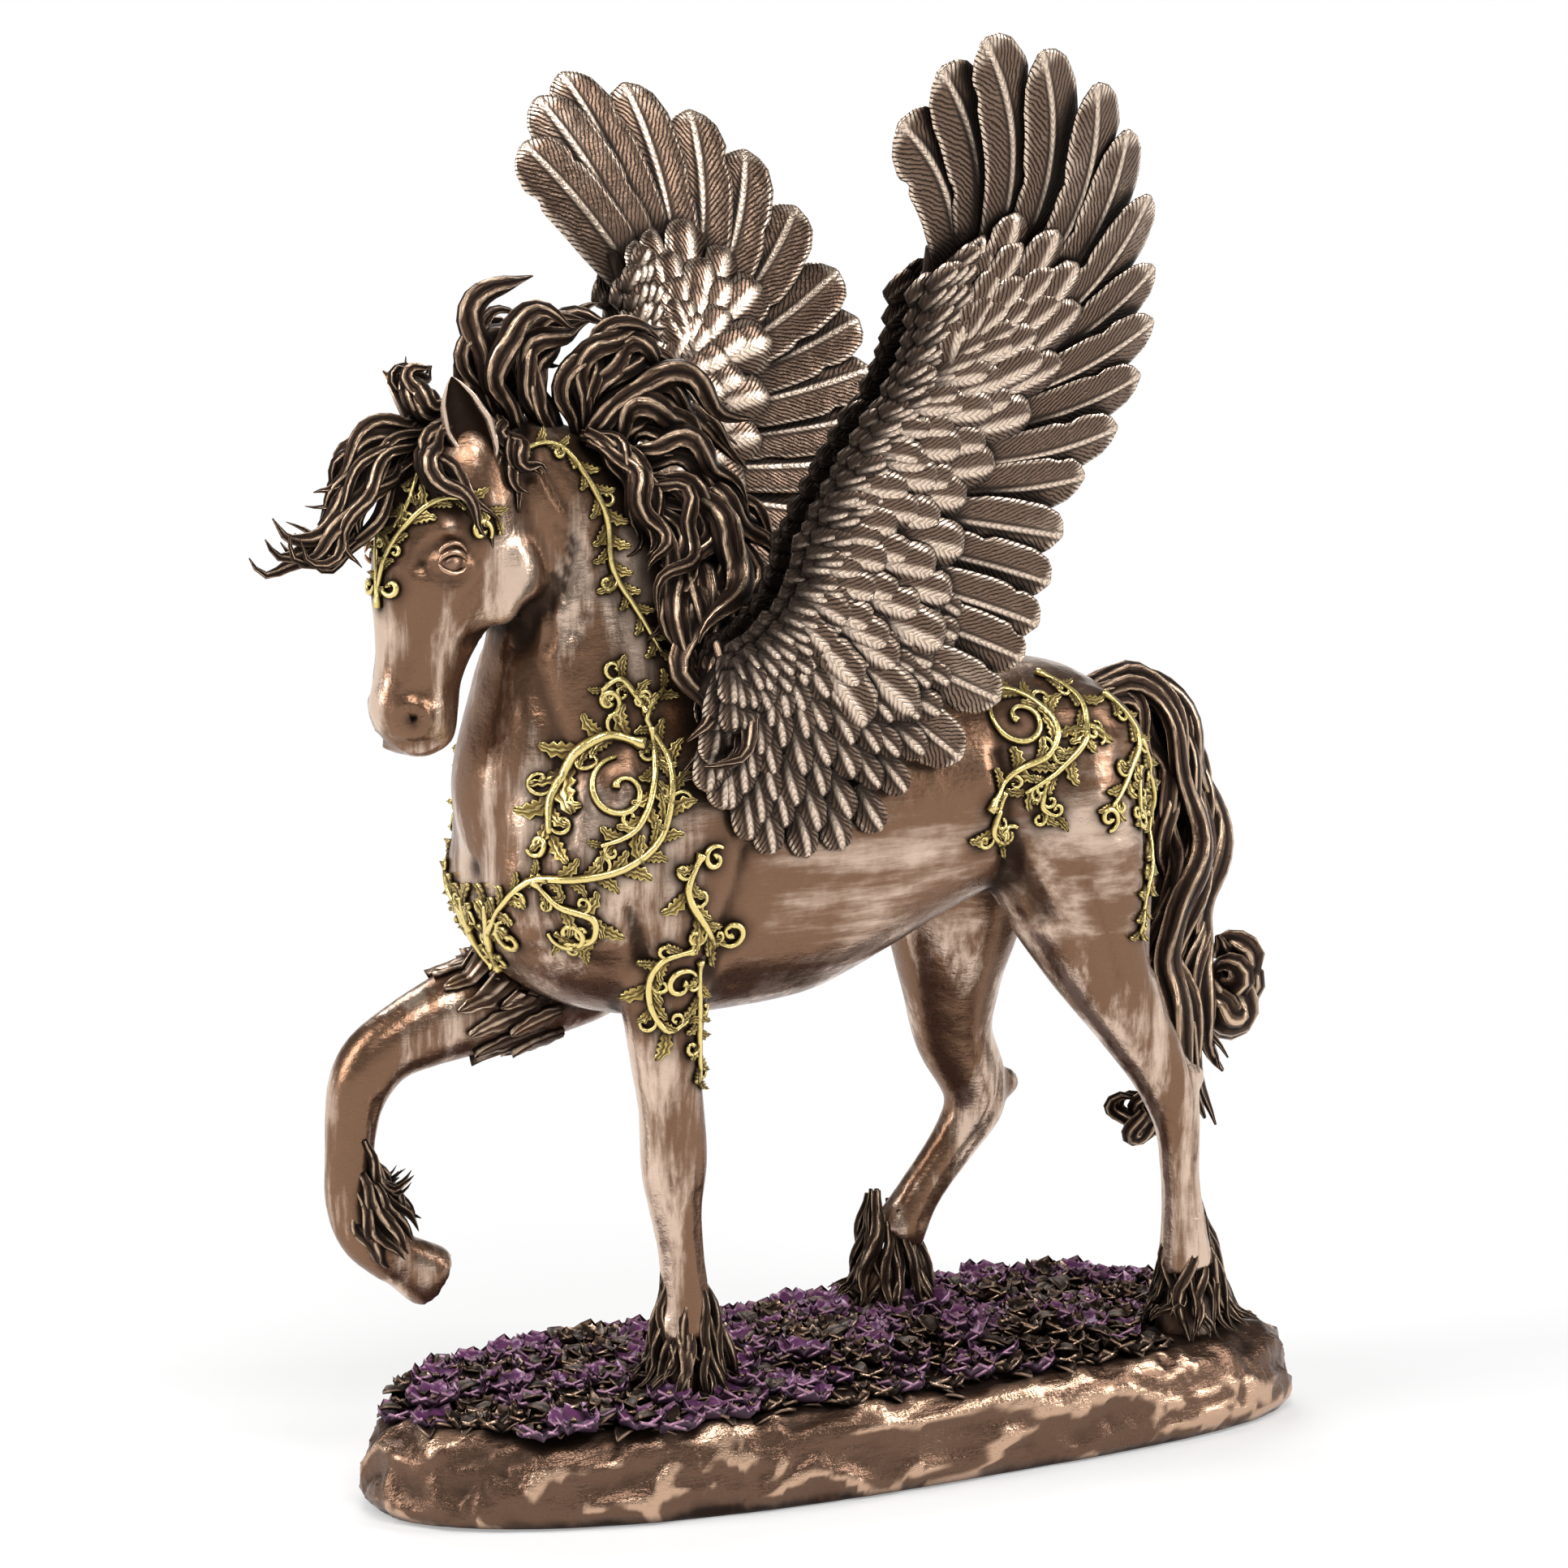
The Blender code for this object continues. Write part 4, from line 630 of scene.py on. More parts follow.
@dataclass
class HorseBody:
    """Smooth bronze skin of the horse, with its head, legs and hooves.

    Attributes:
        body_width: Width of the barrel over both flanks, in millimetres, as all sizes here.
        neck_width: Width of the neck at the shoulders.
        head_width: Width of the head at the cheeks.
        ear_length: Length of an ear.
        hoof_width: Width of a hoof at the ground.
        hoof_length: Length of a hoof from its crown down.
        voxel: Grain of the fused skin.
        softening: Passes that smooth the fused skin.
        bulge_passes: Passes of the smooth skin that ridges and hollows are measured from.
        plain_wear: Burnishing of the plain skin.
        ridge_wear: Further burnishing of what stands 1.5 mm out.
    """

    body_width: float = 56.0
    neck_width: float = 48.0
    head_width: float = 24.0
    ear_length: float = 19.0
    hoof_width: float = 14.5
    hoof_length: float = 10.0
    voxel: float = 1.12
    softening: int = 7
    bulge_passes: int = 50
    plain_wear: float = 0.20
    ridge_wear: float = 0.26

    def barrel(self) -> Surface:
        """Loft the barrel from the point of the chest to the buttocks."""
        table = curve_through(np.array(BARREL, float), 30)
        centre = np.stack([table[:, 0], np.zeros(30), (table[:, 1] + table[:, 2]) / 2], axis=1)
        across = np.outer(table[:, 3], (0, self.body_width / 2, 0))
        along = np.outer((table[:, 2] - table[:, 1]) / 2, (0, 0, 1))
        return plain_shell(oval_rings(centre, across, along, 40, 0.92))

    def slanted(self, stations: tuple, width: float, turned: bool) -> Surface:
        """Loft the neck or the head through the front and back points of its outline."""
        table = curve_through(np.array(stations, float), 26)
        zero = np.zeros(len(table))
        front = np.stack([table[:, 0], zero, table[:, 1]], axis=1)
        back = np.stack([table[:, 2], zero, table[:, 3]], axis=1)
        across = np.outer(table[:, 4], (0, width / 2, 0))
        rings = oval_rings((front + back) / 2, (front - back) / 2, across, 36)
        return plain_shell(turn_head(rings) if turned else rings)

    def limb(self, stations: tuple) -> Surface:
        """Loft a leg along its stations, a little flatter from side to side than it is deep."""
        table = curve_through(np.array(stations, float), 44)
        centre, half = table[:, :3], table[:, 3:]
        along = np.gradient(centre, axis=0)
        fore = unit(np.cross(along, (0.0, 1.0, 0.0)))
        side = unit(np.cross(fore, along))
        return plain_shell(oval_rings(centre, fore * half, side * half * 0.86, 24))

    def hoof(self, top: tuple, direction: tuple) -> Surface:
        """Flared hoof with a raised crown band and a flat sole."""
        down = unit(np.array(direction, float))
        side = np.array((0.0, 1.0, 0.0))
        fore = unit(np.cross(side, down))
        share = np.array((-0.35, -0.08, 0.0, 0.08, 0.5, 0.96, 1.04, 1.08))
        size = np.array((0.55, 0.68, 0.76, 0.70, 0.80, 0.90, 0.88, 0.80))[:, None] * self.hoof_width / 2
        centre = np.array(top, float) + np.outer(share * self.hoof_length, down)
        return plain_shell(oval_rings(centre, fore * size, side * size * 0.94, 32))

    def ball(self, centre: Array, sizes: tuple) -> Surface:
        """Ball with its own half sizes along the axes, as rings of latitude."""
        angle = np.linspace(0.12, math.pi - 0.12, 12)
        centres = centre + np.outer(np.cos(angle), (0, 0, sizes[2]))
        across = np.outer(np.sin(angle), (sizes[0], 0, 0))
        along = np.outer(np.sin(angle), (0, sizes[1], 0))
        return plain_shell(oval_rings(centres, across, along, 20))

    def forms(self) -> Surface:
        """All the overlapping smooth forms of the horse."""
        parts = [self.barrel(), self.slanted(NECK, self.neck_width, False), self.slanted(HEAD, self.head_width, True)]
        parts += [self.limb(stations) for stations in (NEAR_FORELEG, FAR_FORELEG, NEAR_HINDLEG, FAR_HINDLEG)]
        parts += [self.hoof(top, direction) for top, direction in HOOVES]
        parts += [self.ball(np.array((x, y, z)), (r, r * 0.8, r)) for x, y, z, r in HOCK_POINTS]
        parts += [self.ball(np.array((x, y, z)), (a, b, c)) for x, y, z, a, b, c in MUSCLES]
        for side in Side:
            for place, sizes in FACE_FORMS:
                spot = turn_head(np.array((place[0], side.value * place[1], place[2]), float))
                parts.append(self.ball(spot, sizes))
        return joined(parts)

    def fused(self) -> tuple[Object, Array, Array]:
        """Fuse the forms into one skin by voxels and soften it.

        Returns:
            The object, its corners in millimetres and its normals.
        """
        item = make_mesh("horse_body", self.forms())
        fuse = item.modifiers.new("fuse", "REMESH")
        fuse.mode = "VOXEL"
        fuse.voxel_size = self.voxel * MM
        soften = item.modifiers.new("soften", "SMOOTH")
        soften.factor = 0.5
        soften.iterations = self.softening
        graph = bpy.context.evaluated_depsgraph_get()
        mesh = bpy.data.meshes.new_from_object(item.evaluated_get(graph))
        item.modifiers.clear()
        item.data = mesh
        count = len(mesh.vertices)
        points, normals = np.empty(count * 3, np.float32), np.empty(count * 3, np.float32)
        mesh.vertices.foreach_get("co", points)
        mesh.vertices.foreach_get("normal", normals)
        return item, points.reshape(-1, 3).astype(float) / MM, normals.reshape(-1, 3).astype(float)

    def creases(self) -> list[tuple]:
        """Grooves and ridges of the skin, with six creases that fan out under the throat.

        Returns:
            Rows like those of CREASES.
        """
        rows = list(CREASES)
        for step in range(6):
            angle = np.radians(np.linspace(14 - 12 * step, -10 - 12 * step, 5))
            reach = np.linspace(14.5, 23.0 - 0.9 * abs(step - 3), 5)
            stroke = np.stack([-70 + reach * np.cos(angle), 186 + reach * np.sin(angle)], axis=1)
            rows.append((False, 0.95, 0.75, 4, 30, *map(tuple, stroke)))
        return rows

    def carved(self, points: Array, normals: Array) -> tuple[Array, Array]:
        """Cut the creases: each moves the skin inwards by depth * exp(-(distance / width)^2).

        Args:
            points: Corners of the skin.
            normals: Outward normals at them.

        Returns:
            The moved corners, and the dark wash that gathers in the grooves.
        """
        head = turn_head(points, -HEAD_TURN)
        move = np.zeros(len(points))
        wash = np.zeros(len(points))
        for on_head, width, depth, low, high, *path in self.creases():
            places = head if on_head else points
            curve = curve_through(np.array(path, float), 36)
            spans = np.abs(places[:, 1])
            close = (spans > low) & (spans < high)
            gap = distance_to(places[close][:, (0, 2)], curve)
            shape = bell(gap, width)
            move[close] -= depth * shape
            wash[close] = np.maximum(wash[close], shape * (min(0.45 * depth, 0.6) if depth > 0 else 0.0))
        for place, width, depth, on_head in PITS:
            places = head if on_head else points
            gap = np.linalg.norm(np.stack([places[:, 0], np.abs(places[:, 1]), places[:, 2]], axis=1) - place, axis=1)
            shape = bell(gap, width)
            move += 0.12 * depth * bell(gap, 0.8, 1.5 * width) - depth * shape
            wash = np.maximum(wash, shape)
        move += 0.10 * fractal_noise(points / 9.0, 3, seed=4)
        return points + normals * move[:, None], wash

    def ear(self, side: Side) -> Surface:
        """Leaf-shaped ear: a cupped blade with a dark hollow, a bright rim and a fine tip.

        Round each station the corners run over the back of the cup and return inside it.
        """
        root = np.array((-71.5, side.value * 7.6, 202.5))
        axis = unit(np.array((-0.50, side.value * 0.16, 0.86)))
        facing = unit(np.array((-0.55, side.value * 0.80, -0.15)))
        facing = unit(facing - axis * (facing @ axis))
        beside = np.cross(axis, facing)
        v = np.linspace(0, 1, 18)[:, None]
        half = np.interp(v, (0, 0.12, 0.4, 0.72, 0.92, 1), (2.6, 3.8, 4.9, 3.6, 1.5, 0.3))
        open_angle = np.radians(np.interp(v, (0, 0.25, 1), (125, 88, 74)))
        u = np.linspace(-1, 1, 13)
        outer, inner = open_angle * u, open_angle * u[::-1]
        shell = np.concatenate([outer, inner], axis=1)
        thick = np.concatenate([np.ones_like(outer), np.full_like(inner, 0.72)], axis=1)
        lean = axis * (v * self.ear_length)[..., None] + beside * (0.8 * np.sin(v * 2.6))[..., None] * side.value
        reach = (half * thick)[..., None]
        rings = root + lean + reach * (beside * np.sin(shell)[..., None] - facing * np.cos(shell)[..., None] * 0.8)
        hollow = np.concatenate([np.zeros_like(outer), np.ones_like(inner) * (1 - np.abs(u[::-1]) ** 4)], axis=1)
        rim = np.concatenate([np.abs(u) ** 6, np.abs(u[::-1]) ** 6]) * np.ones_like(v)
        length = np.broadcast_to(v * self.ear_length, shell.shape)
        grain = np.stack([shell * 3, length, np.full(shell.shape, 0.3)], axis=2)
        return loft(turn_head(rings)[None], grain[None], hollow[None] * 0.95, np.maximum(rim, 0.2)[None])

    def eye(self, side: Side) -> list[Surface]:
        """Eyeball with an almond of two lids round it."""
        centre = np.array((-82.0, side.value * 11.0, 184.4))
        angle = np.linspace(0.1, math.pi - 0.1, 14)
        rings = oval_rings(
            centre + np.outer(np.cos(angle), (2.3, 0, 0.2)), np.outer(np.sin(angle), (0, 1.0, 0)),
            np.outer(np.sin(angle), (0, 0, 1.65)), 20)
        ball = plain_shell(turn_head(rings), 0.45, 0.6)
        t = np.linspace(-1, 1, 18)
        lids = []
        for rise, lift, thick in ((2.0, 0.2, 0.6), (-1.7, -0.1, 0.5), (2.2, 1.7, 0.45)):
            path = centre + np.stack([t * 3.3, side.value * (0.75 - 0.5 * t * t - abs(rise) * 0.06),
                                      lift + rise * np.sqrt(np.clip(1 - t * t, 0, 1)) ** 1.3 - 0.25 * t], axis=1)
            halves = thick * np.sqrt(np.clip(1 - t ** 4, 0.05, 1))
            shell, _ = tubes(turn_head(path)[None], halves[None], np.array((0.0, side.value, 0.0)), 10)
            lids.append(plain_shell(shell, 0.1, 0.8))
        return [ball, *lids]

    def bulge(self, mesh: Mesh, points: Array, normals: Array) -> Array:
        """How far each corner stands out of the skin smoothed by passes of neighbour means.

        Args:
            mesh: Mesh of the skin.
            points: Its corners in millimetres.
            normals: Outward normals at them.

        Returns:
            One distance for each corner, below zero in hollows.
        """
        edges = np.empty(len(mesh.edges) * 2, np.int32)
        mesh.edges.foreach_get("vertices", edges)
        first, second = edges.reshape(-1, 2).T
        count = len(points)
        degree = np.bincount(first, minlength=count) + np.bincount(second, minlength=count)
        soft = points
        for _ in range(self.bulge_passes):
            total = np.stack([np.bincount(first, soft[second, k], count) + np.bincount(second, soft[first, k], count)
                              for k in range(3)], axis=1)
            soft = 0.4 * soft + 0.6 * total / degree[:, None]
        return ((points - soft) * normals).sum(axis=1)

    def build(self) -> tuple[list[Object], Skin]:
        """Make the skin, and the ears and eyes as pieces of their own.

        Returns:
            The objects, and the skin as arrays.
        """
        item, points, normals = self.fused()
        points, wash = self.carved(points, normals)
        item.data.vertices.foreach_set("co", (points * MM).astype(np.float32).ravel())
        item.data.update()
        item.data.polygons.foreach_set("use_smooth", np.ones(len(item.data.polygons), bool))
        stand = self.bulge(item.data, points, normals)
        wear = self.plain_wear + self.ridge_wear * ease(0.0, 1.5, stand)
        # Painted highlights and painted shade at the listed places, added to the burnish
        for x, y, z, reach, gain in PAINTED_LIGHT_SPOTS:
            gap = np.linalg.norm((points - (x, 0, z)) * (1, 0.4, 1), axis=1)
            wear += gain * bell(gap, reach)
        flank = ease(-44, -26, points[:, 0]) * ease(96, 108, points[:, 2])
        wash = np.maximum(wash, ease(0.15, -0.9, stand) * 0.8)
        store_values(item.data, np.stack([points[:, 0], points[:, 2], flank], axis=1), wash, wear)
        low, high = points.min(axis=0), points.max(axis=0)
        LOG.info("horse skin from %s to %s mm", low.round(1), high.round(1))
        ears = make_mesh("ears", joined([self.ear(side) for side in Side]))
        eyes = make_mesh("eyes", joined([part for side in Side for part in self.eye(side)]))
        return [item, ears, eyes], Skin(points, normals, wash, item.data)


@dataclass(frozen=True)
class WingSheet:
    """Curved sheet that a wing's feathers follow.

    Attributes:
        root_spread: Distance between the two sheets at their feet.
        tip_spread: Distance between them at the wing tips.
        far_forward: How far the far wing's tip stands forward of the near one's.
        far_drop: How far it stands lower.
        far_bend: Share of the feathers' bend that the far wing shows.
    """

    root_spread: float = 57.0
    tip_spread: float = 138.0
    far_forward: float = 14.0
    far_drop: float = 8.0
    far_bend: float = 0.35

    def at(self, x: Array, z: Array, side: Side, lift: Array | float) -> Array:
        """Places on the sheet.

        With h the height above the foot as a share of the whole, half the distance between the
        sheets grows by h * (0.35 + 0.65 h) of its gain, so they bend outwards.

        Args:
            x: Places along the horse.
            z: Heights.
            side: Wing.
            lift: Distance outside the sheet.

        Returns:
            The places, with the axis last.
        """
        above = np.maximum(z - FAN_FOOT, 0) / (FAN_TOP - FAN_FOOT)
        spread = self.root_spread / 2 + (self.tip_spread - self.root_spread) / 2 * above * (0.35 + 0.65 * above)
        far = 1.0 if side is Side.FAR else 0.0
        return np.stack([x - far * self.far_forward * above, side.value * (spread + lift),
                         z - far * self.far_drop * above], axis=-1)

    def fan(self, share: Array, side: Side) -> Array:
        """Root x, z, tip x, z and bend of the fan lines at shares of the way down the arm."""
        place = np.clip(share, 0, 1) * (len(WING_FAN) - 1)
        lines = np.stack([np.interp(place, np.arange(len(WING_FAN)), WING_FAN[:, k]) for k in range(5)], axis=-1)
        lines[..., 4] *= self.far_bend if side is Side.FAR else 1.0
        return lines

    def on_line(self, share: Array, reach: Array, side: Side) -> Array:
        """Places x, z on curved fan lines: root + r * run + across * bend * 4 r (1 - r)."""
        lines = self.fan(share, side)
        run = lines[..., 2:4] - lines[..., :2]
        across = unit(np.stack([-run[..., 1], run[..., 0]], axis=-1))
        return lines[..., :2] + run * reach[..., None] + across * (lines[..., 4] * 4 * reach * (1 - reach))[..., None]


@dataclass(frozen=True)
class Blade:
    """Form of a kind of feather.

    Attributes:
        profile: Width shares at even steps of these shares of the length.
        stations: Rings along the feather.
        columns: Corners across each face.
        thickness: Thickness at the middle, in millimetres.
        quill: Height of the quill ridge.
        crown: How much the blade arches, as a share of its half width.
    """

    profile: tuple
    stations: int
    columns: int
    thickness: float
    quill: float
    crown: float


FLIGHT_BLADE = Blade(((0, 0.2, 0.45, 0.7, 0.86, 0.94, 0.98, 1), (0.4, 0.68, 0.92, 1, 0.96, 0.76, 0.46, 0.12)),
                     28, 15, 1.5, 0.5, 0.12)
COVERT_BLADE = Blade(((0, 0.3, 0.6, 0.82, 0.92, 0.98, 1), (0.5, 0.85, 1, 0.96, 0.78, 0.42, 0.1)), 10, 7, 1.3, 0.45, 0.2)
SCALE_BLADE = Blade(((0, 0.35, 0.7, 0.88, 0.97, 1), (0.6, 0.92, 1, 0.84, 0.44, 0.12)), 7, 7, 1.0, 0.32, 0.2)


@dataclass
class Wing:
    """One feathered wing: arm, flight feathers, covert rows on both faces and shoulder scales.

    Attributes:
        side: Side of the horse.
        sheet: Curved sheet of the feathers.
        flight_feathers: Flight feathers from the leading edge down.
        flight_width: Width of a flight feather in millimetres.
        covert_width: Width of a covert.
        covert_length: Length of the longest coverts.
        arm_width: Width of the arm.
        arm_scales_across: Scales in each row on the arm.
        scale_length: Length of a scale on the arm.
        scale_width: Width of a scale on the arm.
        shoulder_length: Length of a feather on the shoulder.
        shoulder_width: Width of a feather on the shoulder.
        seed: Number that sets the small differences between feathers.
    """

    side: Side
    sheet: WingSheet = WingSheet()
    flight_feathers: int = 18
    flight_width: float = 13.6
    covert_width: float = 11.6
    covert_length: float = 25.0
    arm_width: float = 8.0
    arm_scales_across: int = 24
    scale_length: float = 7.0
    scale_width: float = 5.8
    shoulder_length: float = 11.0
    shoulder_width: float = 6.6
    seed: int = 5

    def feathers(self, blade: Blade, root: Array, tip: Array, width: Array, lift: Array, face: float,
                 tilt: float, bow: Array) -> Surface:
        """Feathers of one kind as closed blades on the sheet.

        Across a feather u runs from -1 to 1, along it v from 0 to 1. Its corner lies on the sheet
        at root + v (tip - root) + u * half width * w(v), then moves along the sheet's normal by
        tilt * u + crown * (1 - u^2) of the half width, plus a round quill ridge at u = 0.

        Args:
            blade: Form of the feathers.
            root: Places x, z of the roots, one row for each feather.
            tip: Places x, z of the tips.
            width: Whole widths.
            lift: Distances outside the sheet.
            face: 1 for the outer face of the wing, -1 for the inner.
            tilt: Rise of one edge over the other, so that each feather laps its neighbour.
            bow: Sideways bend at the middle.

        Returns:
            The feathers as one surface.
        """
        chance = np.random.default_rng(self.seed + len(root))
        v = 1 - (1 - np.linspace(0, 1, blade.stations)) ** 1.45
        w = np.interp(v, *blade.profile)
        u = np.linspace(-1, 1, blade.columns)
        along = tip - root
        length = np.linalg.norm(along, axis=1)
        across = unit(np.stack([-along[:, 1], along[:, 0]], axis=1))
        bend = bow[:, None] * 4 * v * (1 - v)
        base = root[:, None] + along[:, None] * v[:, None] + across[:, None] * bend[..., None]
        ahead = unit(np.gradient(base, axis=1))
        beside = np.stack([-ahead[..., 1], ahead[..., 0]], axis=-1)
        notch = chance.uniform(0.5, 0.93, (len(root), 2))
        cut = np.exp(-((v[None, :, None] - notch[:, None]) / 0.03) ** 2) * 0.16
        sides = np.where(u[None, None] < 0, cut[..., :1], cut[..., 1:])
        half = (width / 2)[:, None, None] * w[None, :, None] * (1 - sides * np.abs(u) ** 2)
        flat = base[:, :, None] + beside[:, :, None] * (u * half)[..., None]
        spread = np.broadcast_to(lift[:, None, None], half.shape)
        place = self.sheet.at(flat[..., 0], flat[..., 1], self.side, spread)
        centre = place[:, :, blade.columns // 2]
        run = unit(np.gradient(centre, axis=1))
        edge = unit(place[:, :, -1] - place[:, :, 0])
        normal = unit(np.cross(edge, run))
        normal = (normal * np.sign(normal[..., 1:2]) * self.side.value)[:, :, None]
        reach = np.abs(u) * half
        ridge = blade.quill * bell(reach, 0.55) * (1.05 - v)[None, :, None] ** 0.5
        rise = (tilt * u * half + face * blade.crown * (1 - u * u) * half)
        body = blade.thickness / 2 * (0.25 + 0.75 * np.sqrt(1 - np.abs(u) ** 3)) * (0.35 + 0.65 * w)[None, :, None]
        top = place + normal * (rise + body + ridge)[..., None]
        low = place + normal * (rise - body - ridge)[..., None]
        number = chance.uniform(0, 1, len(root))
        grain = np.stack([u * half, np.broadcast_to((v * length[:, None])[..., None], half.shape),
                          np.broadcast_to(number[:, None, None], half.shape)], axis=-1)
        rim = np.maximum(ease(0.78, 0.98, np.abs(u) * np.ones_like(half)), ease(0.93, 0.99, v)[None, :, None])
        spine = bell(reach, 0.42)
        groove = bell(reach, 0.42, 0.95) * 0.9
        # Painted shade: each feather darkens towards its root, where the feathers above lie over it; the groove beside
        # the quill holds dark wash.
        wash = np.maximum(groove, (1 - ease(0.15, 0.75, v))[None, :, None] * 0.9)
        wear = np.maximum(np.maximum(rim, spine), 0.25 * ease(0.3, 0.9, v)[None, :, None])
        return loft(wrapped(top, low), wrapped(grain), wrapped(wash), wrapped(wear))

    def flight(self) -> Surface:
        """Long flight feathers round the fan, each leaning over the next."""
        share = 0.81 * np.linspace(0, 1, self.flight_feathers) ** 0.93
        lines = self.sheet.fan(share, self.side)
        lift = np.where(np.arange(len(lines)) % 2 == 0, 0.25, -0.25)
        width = self.flight_width * (1 - 0.24 * share)
        return self.feathers(FLIGHT_BLADE, lines[:, :2], lines[:, 2:4], width, lift, 0.0, 0.24, lines[:, 4])

    def row(self, blade: Blade, share: Array, reach: Array, length: float, width: float, lift: float,
            face: float, tilt: float, scatter: float) -> Surface:
        """One row of short feathers whose tips lie on the fan lines.

        Args:
            blade: Form of the feathers.
            share: Places round the fan.
            reach: Places of the tips along the fan lines.
            length: Length of the feathers.
            width: Width of the feathers.
            lift: Distance outside the sheet, at the reach of each tip.
            face: 1 for the outer face, -1 for the inner.
            tilt: Rise of one edge.
            scatter: Small differences in place, in millimetres.

        Returns:
            The feathers.
        """
        chance = np.random.default_rng(self.seed + len(share) + int(100 * reach[0]))
        end = self.sheet.on_line(share, reach, self.side)
        run = unit(end - self.sheet.on_line(share, reach - 0.12, self.side))
        end = end + chance.normal(0, scatter, end.shape)
        high = face * lift + chance.normal(0, 0.12, len(share))
        sizes = width * chance.uniform(0.92, 1.08, len(share))
        bow = chance.normal(0, 0.3, len(share))
        return self.feathers(blade, end - run * length, end, sizes, high, face, face * tilt, bow)

    def coverts(self, face: float) -> Surface:
        """Rows of coverts on one face: each row lies higher and nearer the arm."""
        parts = []
        for number, (part, count, size, lift) in enumerate(COVERT_ROWS):
            share = (np.arange(count) + 0.5 * (number % 2)) / count
            share = share[share < (0.86 if face > 0 else 1.0)]
            reach = part * np.interp(share, *COVERT_REACH)
            width = self.covert_width * (0.4 + 0.6 * size)
            parts.append(self.row(COVERT_BLADE, share, reach, self.covert_length * size, width, lift, face, 0.27, 0.6))
        return joined(parts)

    def arm_scales(self, face: float) -> Surface:
        """Short round scales that cover the arm, in rows across it."""
        parts = []
        chance = np.random.default_rng(self.seed + 7)
        arm = curve_through(WING_ARM, 60)
        count = self.arm_scales_across
        for number in range(5):
            share = 0.06 + 0.94 * (np.arange(count) + 0.5 * (number % 2)) / count
            middle = np.stack([np.interp(share, np.linspace(0, 1, 60), arm[:, k]) for k in range(2)], axis=1)
            run = unit(self.sheet.on_line(share, np.full(count, 0.3), self.side) - middle)
            end = middle + run * (8.6 - 2.3 * number) + chance.normal(0, 0.3, middle.shape)
            high = face * (4.2 + 0.3 * number - 0.45 * max(number - 2, 0) ** 2)
            lift = np.full(count, high) + chance.normal(0, 0.1, count)
            width = np.full(count, self.scale_width)
            parts.append(self.feathers(SCALE_BLADE, end - run * self.scale_length, end, width, lift, face,
                                       face * 0.1, np.zeros(count)))
        return joined(parts)

    def shoulder_scales(self) -> Surface:
        """Rows of leaf-shaped feathers that carry the wing down over the shoulder."""
        parts = []
        for number, part in enumerate((1.0, 0.86, 0.72, 0.58, 0.44, 0.30, 0.16)):
            share = 0.70 + 0.30 * (np.arange(13) + 0.5 * (number % 2)) / 12.5
            reach = part * np.interp(share, (0.70, 0.80, 0.87), (0.62, 0.78, 1.0))
            parts.append(self.row(SCALE_BLADE, share, reach, self.shoulder_length, self.shoulder_width,
                                  0.6 + 3.4 * (1 - part), 1.0, 0.16, 0.5))
        return joined(parts)

    def arm(self) -> Surface:
        """Round arm under the scales, from the wrist to the shoulder, dark all over as painted shade."""
        lines = curve_through(WING_ARM, 40)
        path = self.sheet.at(lines[:, 0], lines[:, 1], self.side, 0.0)[None]
        halves = (self.arm_width / 2 * np.linspace(0.35, 1.2, 40))[None]
        rings, _ = tubes(path, halves, np.array((0.0, 1.0, 0.0)), 16, 0.85)
        return loft(rings, rings, np.full(rings.shape[:3], 0.7), np.zeros(rings.shape[:3]))

    def build(self) -> list[Object]:
        """Make the wing as two pieces: its long feathers, and its coverts and scales."""
        name = self.side.name.lower() + "_wing"
        long = make_mesh(name + "_flight_feathers", joined([self.flight(), self.arm()]))
        short = [self.coverts(1.0), self.coverts(-1.0), self.arm_scales(1.0), self.arm_scales(-1.0)]
        short.append(self.shoulder_scales())
        return [long, make_mesh(name + "_coverts", joined(short))]


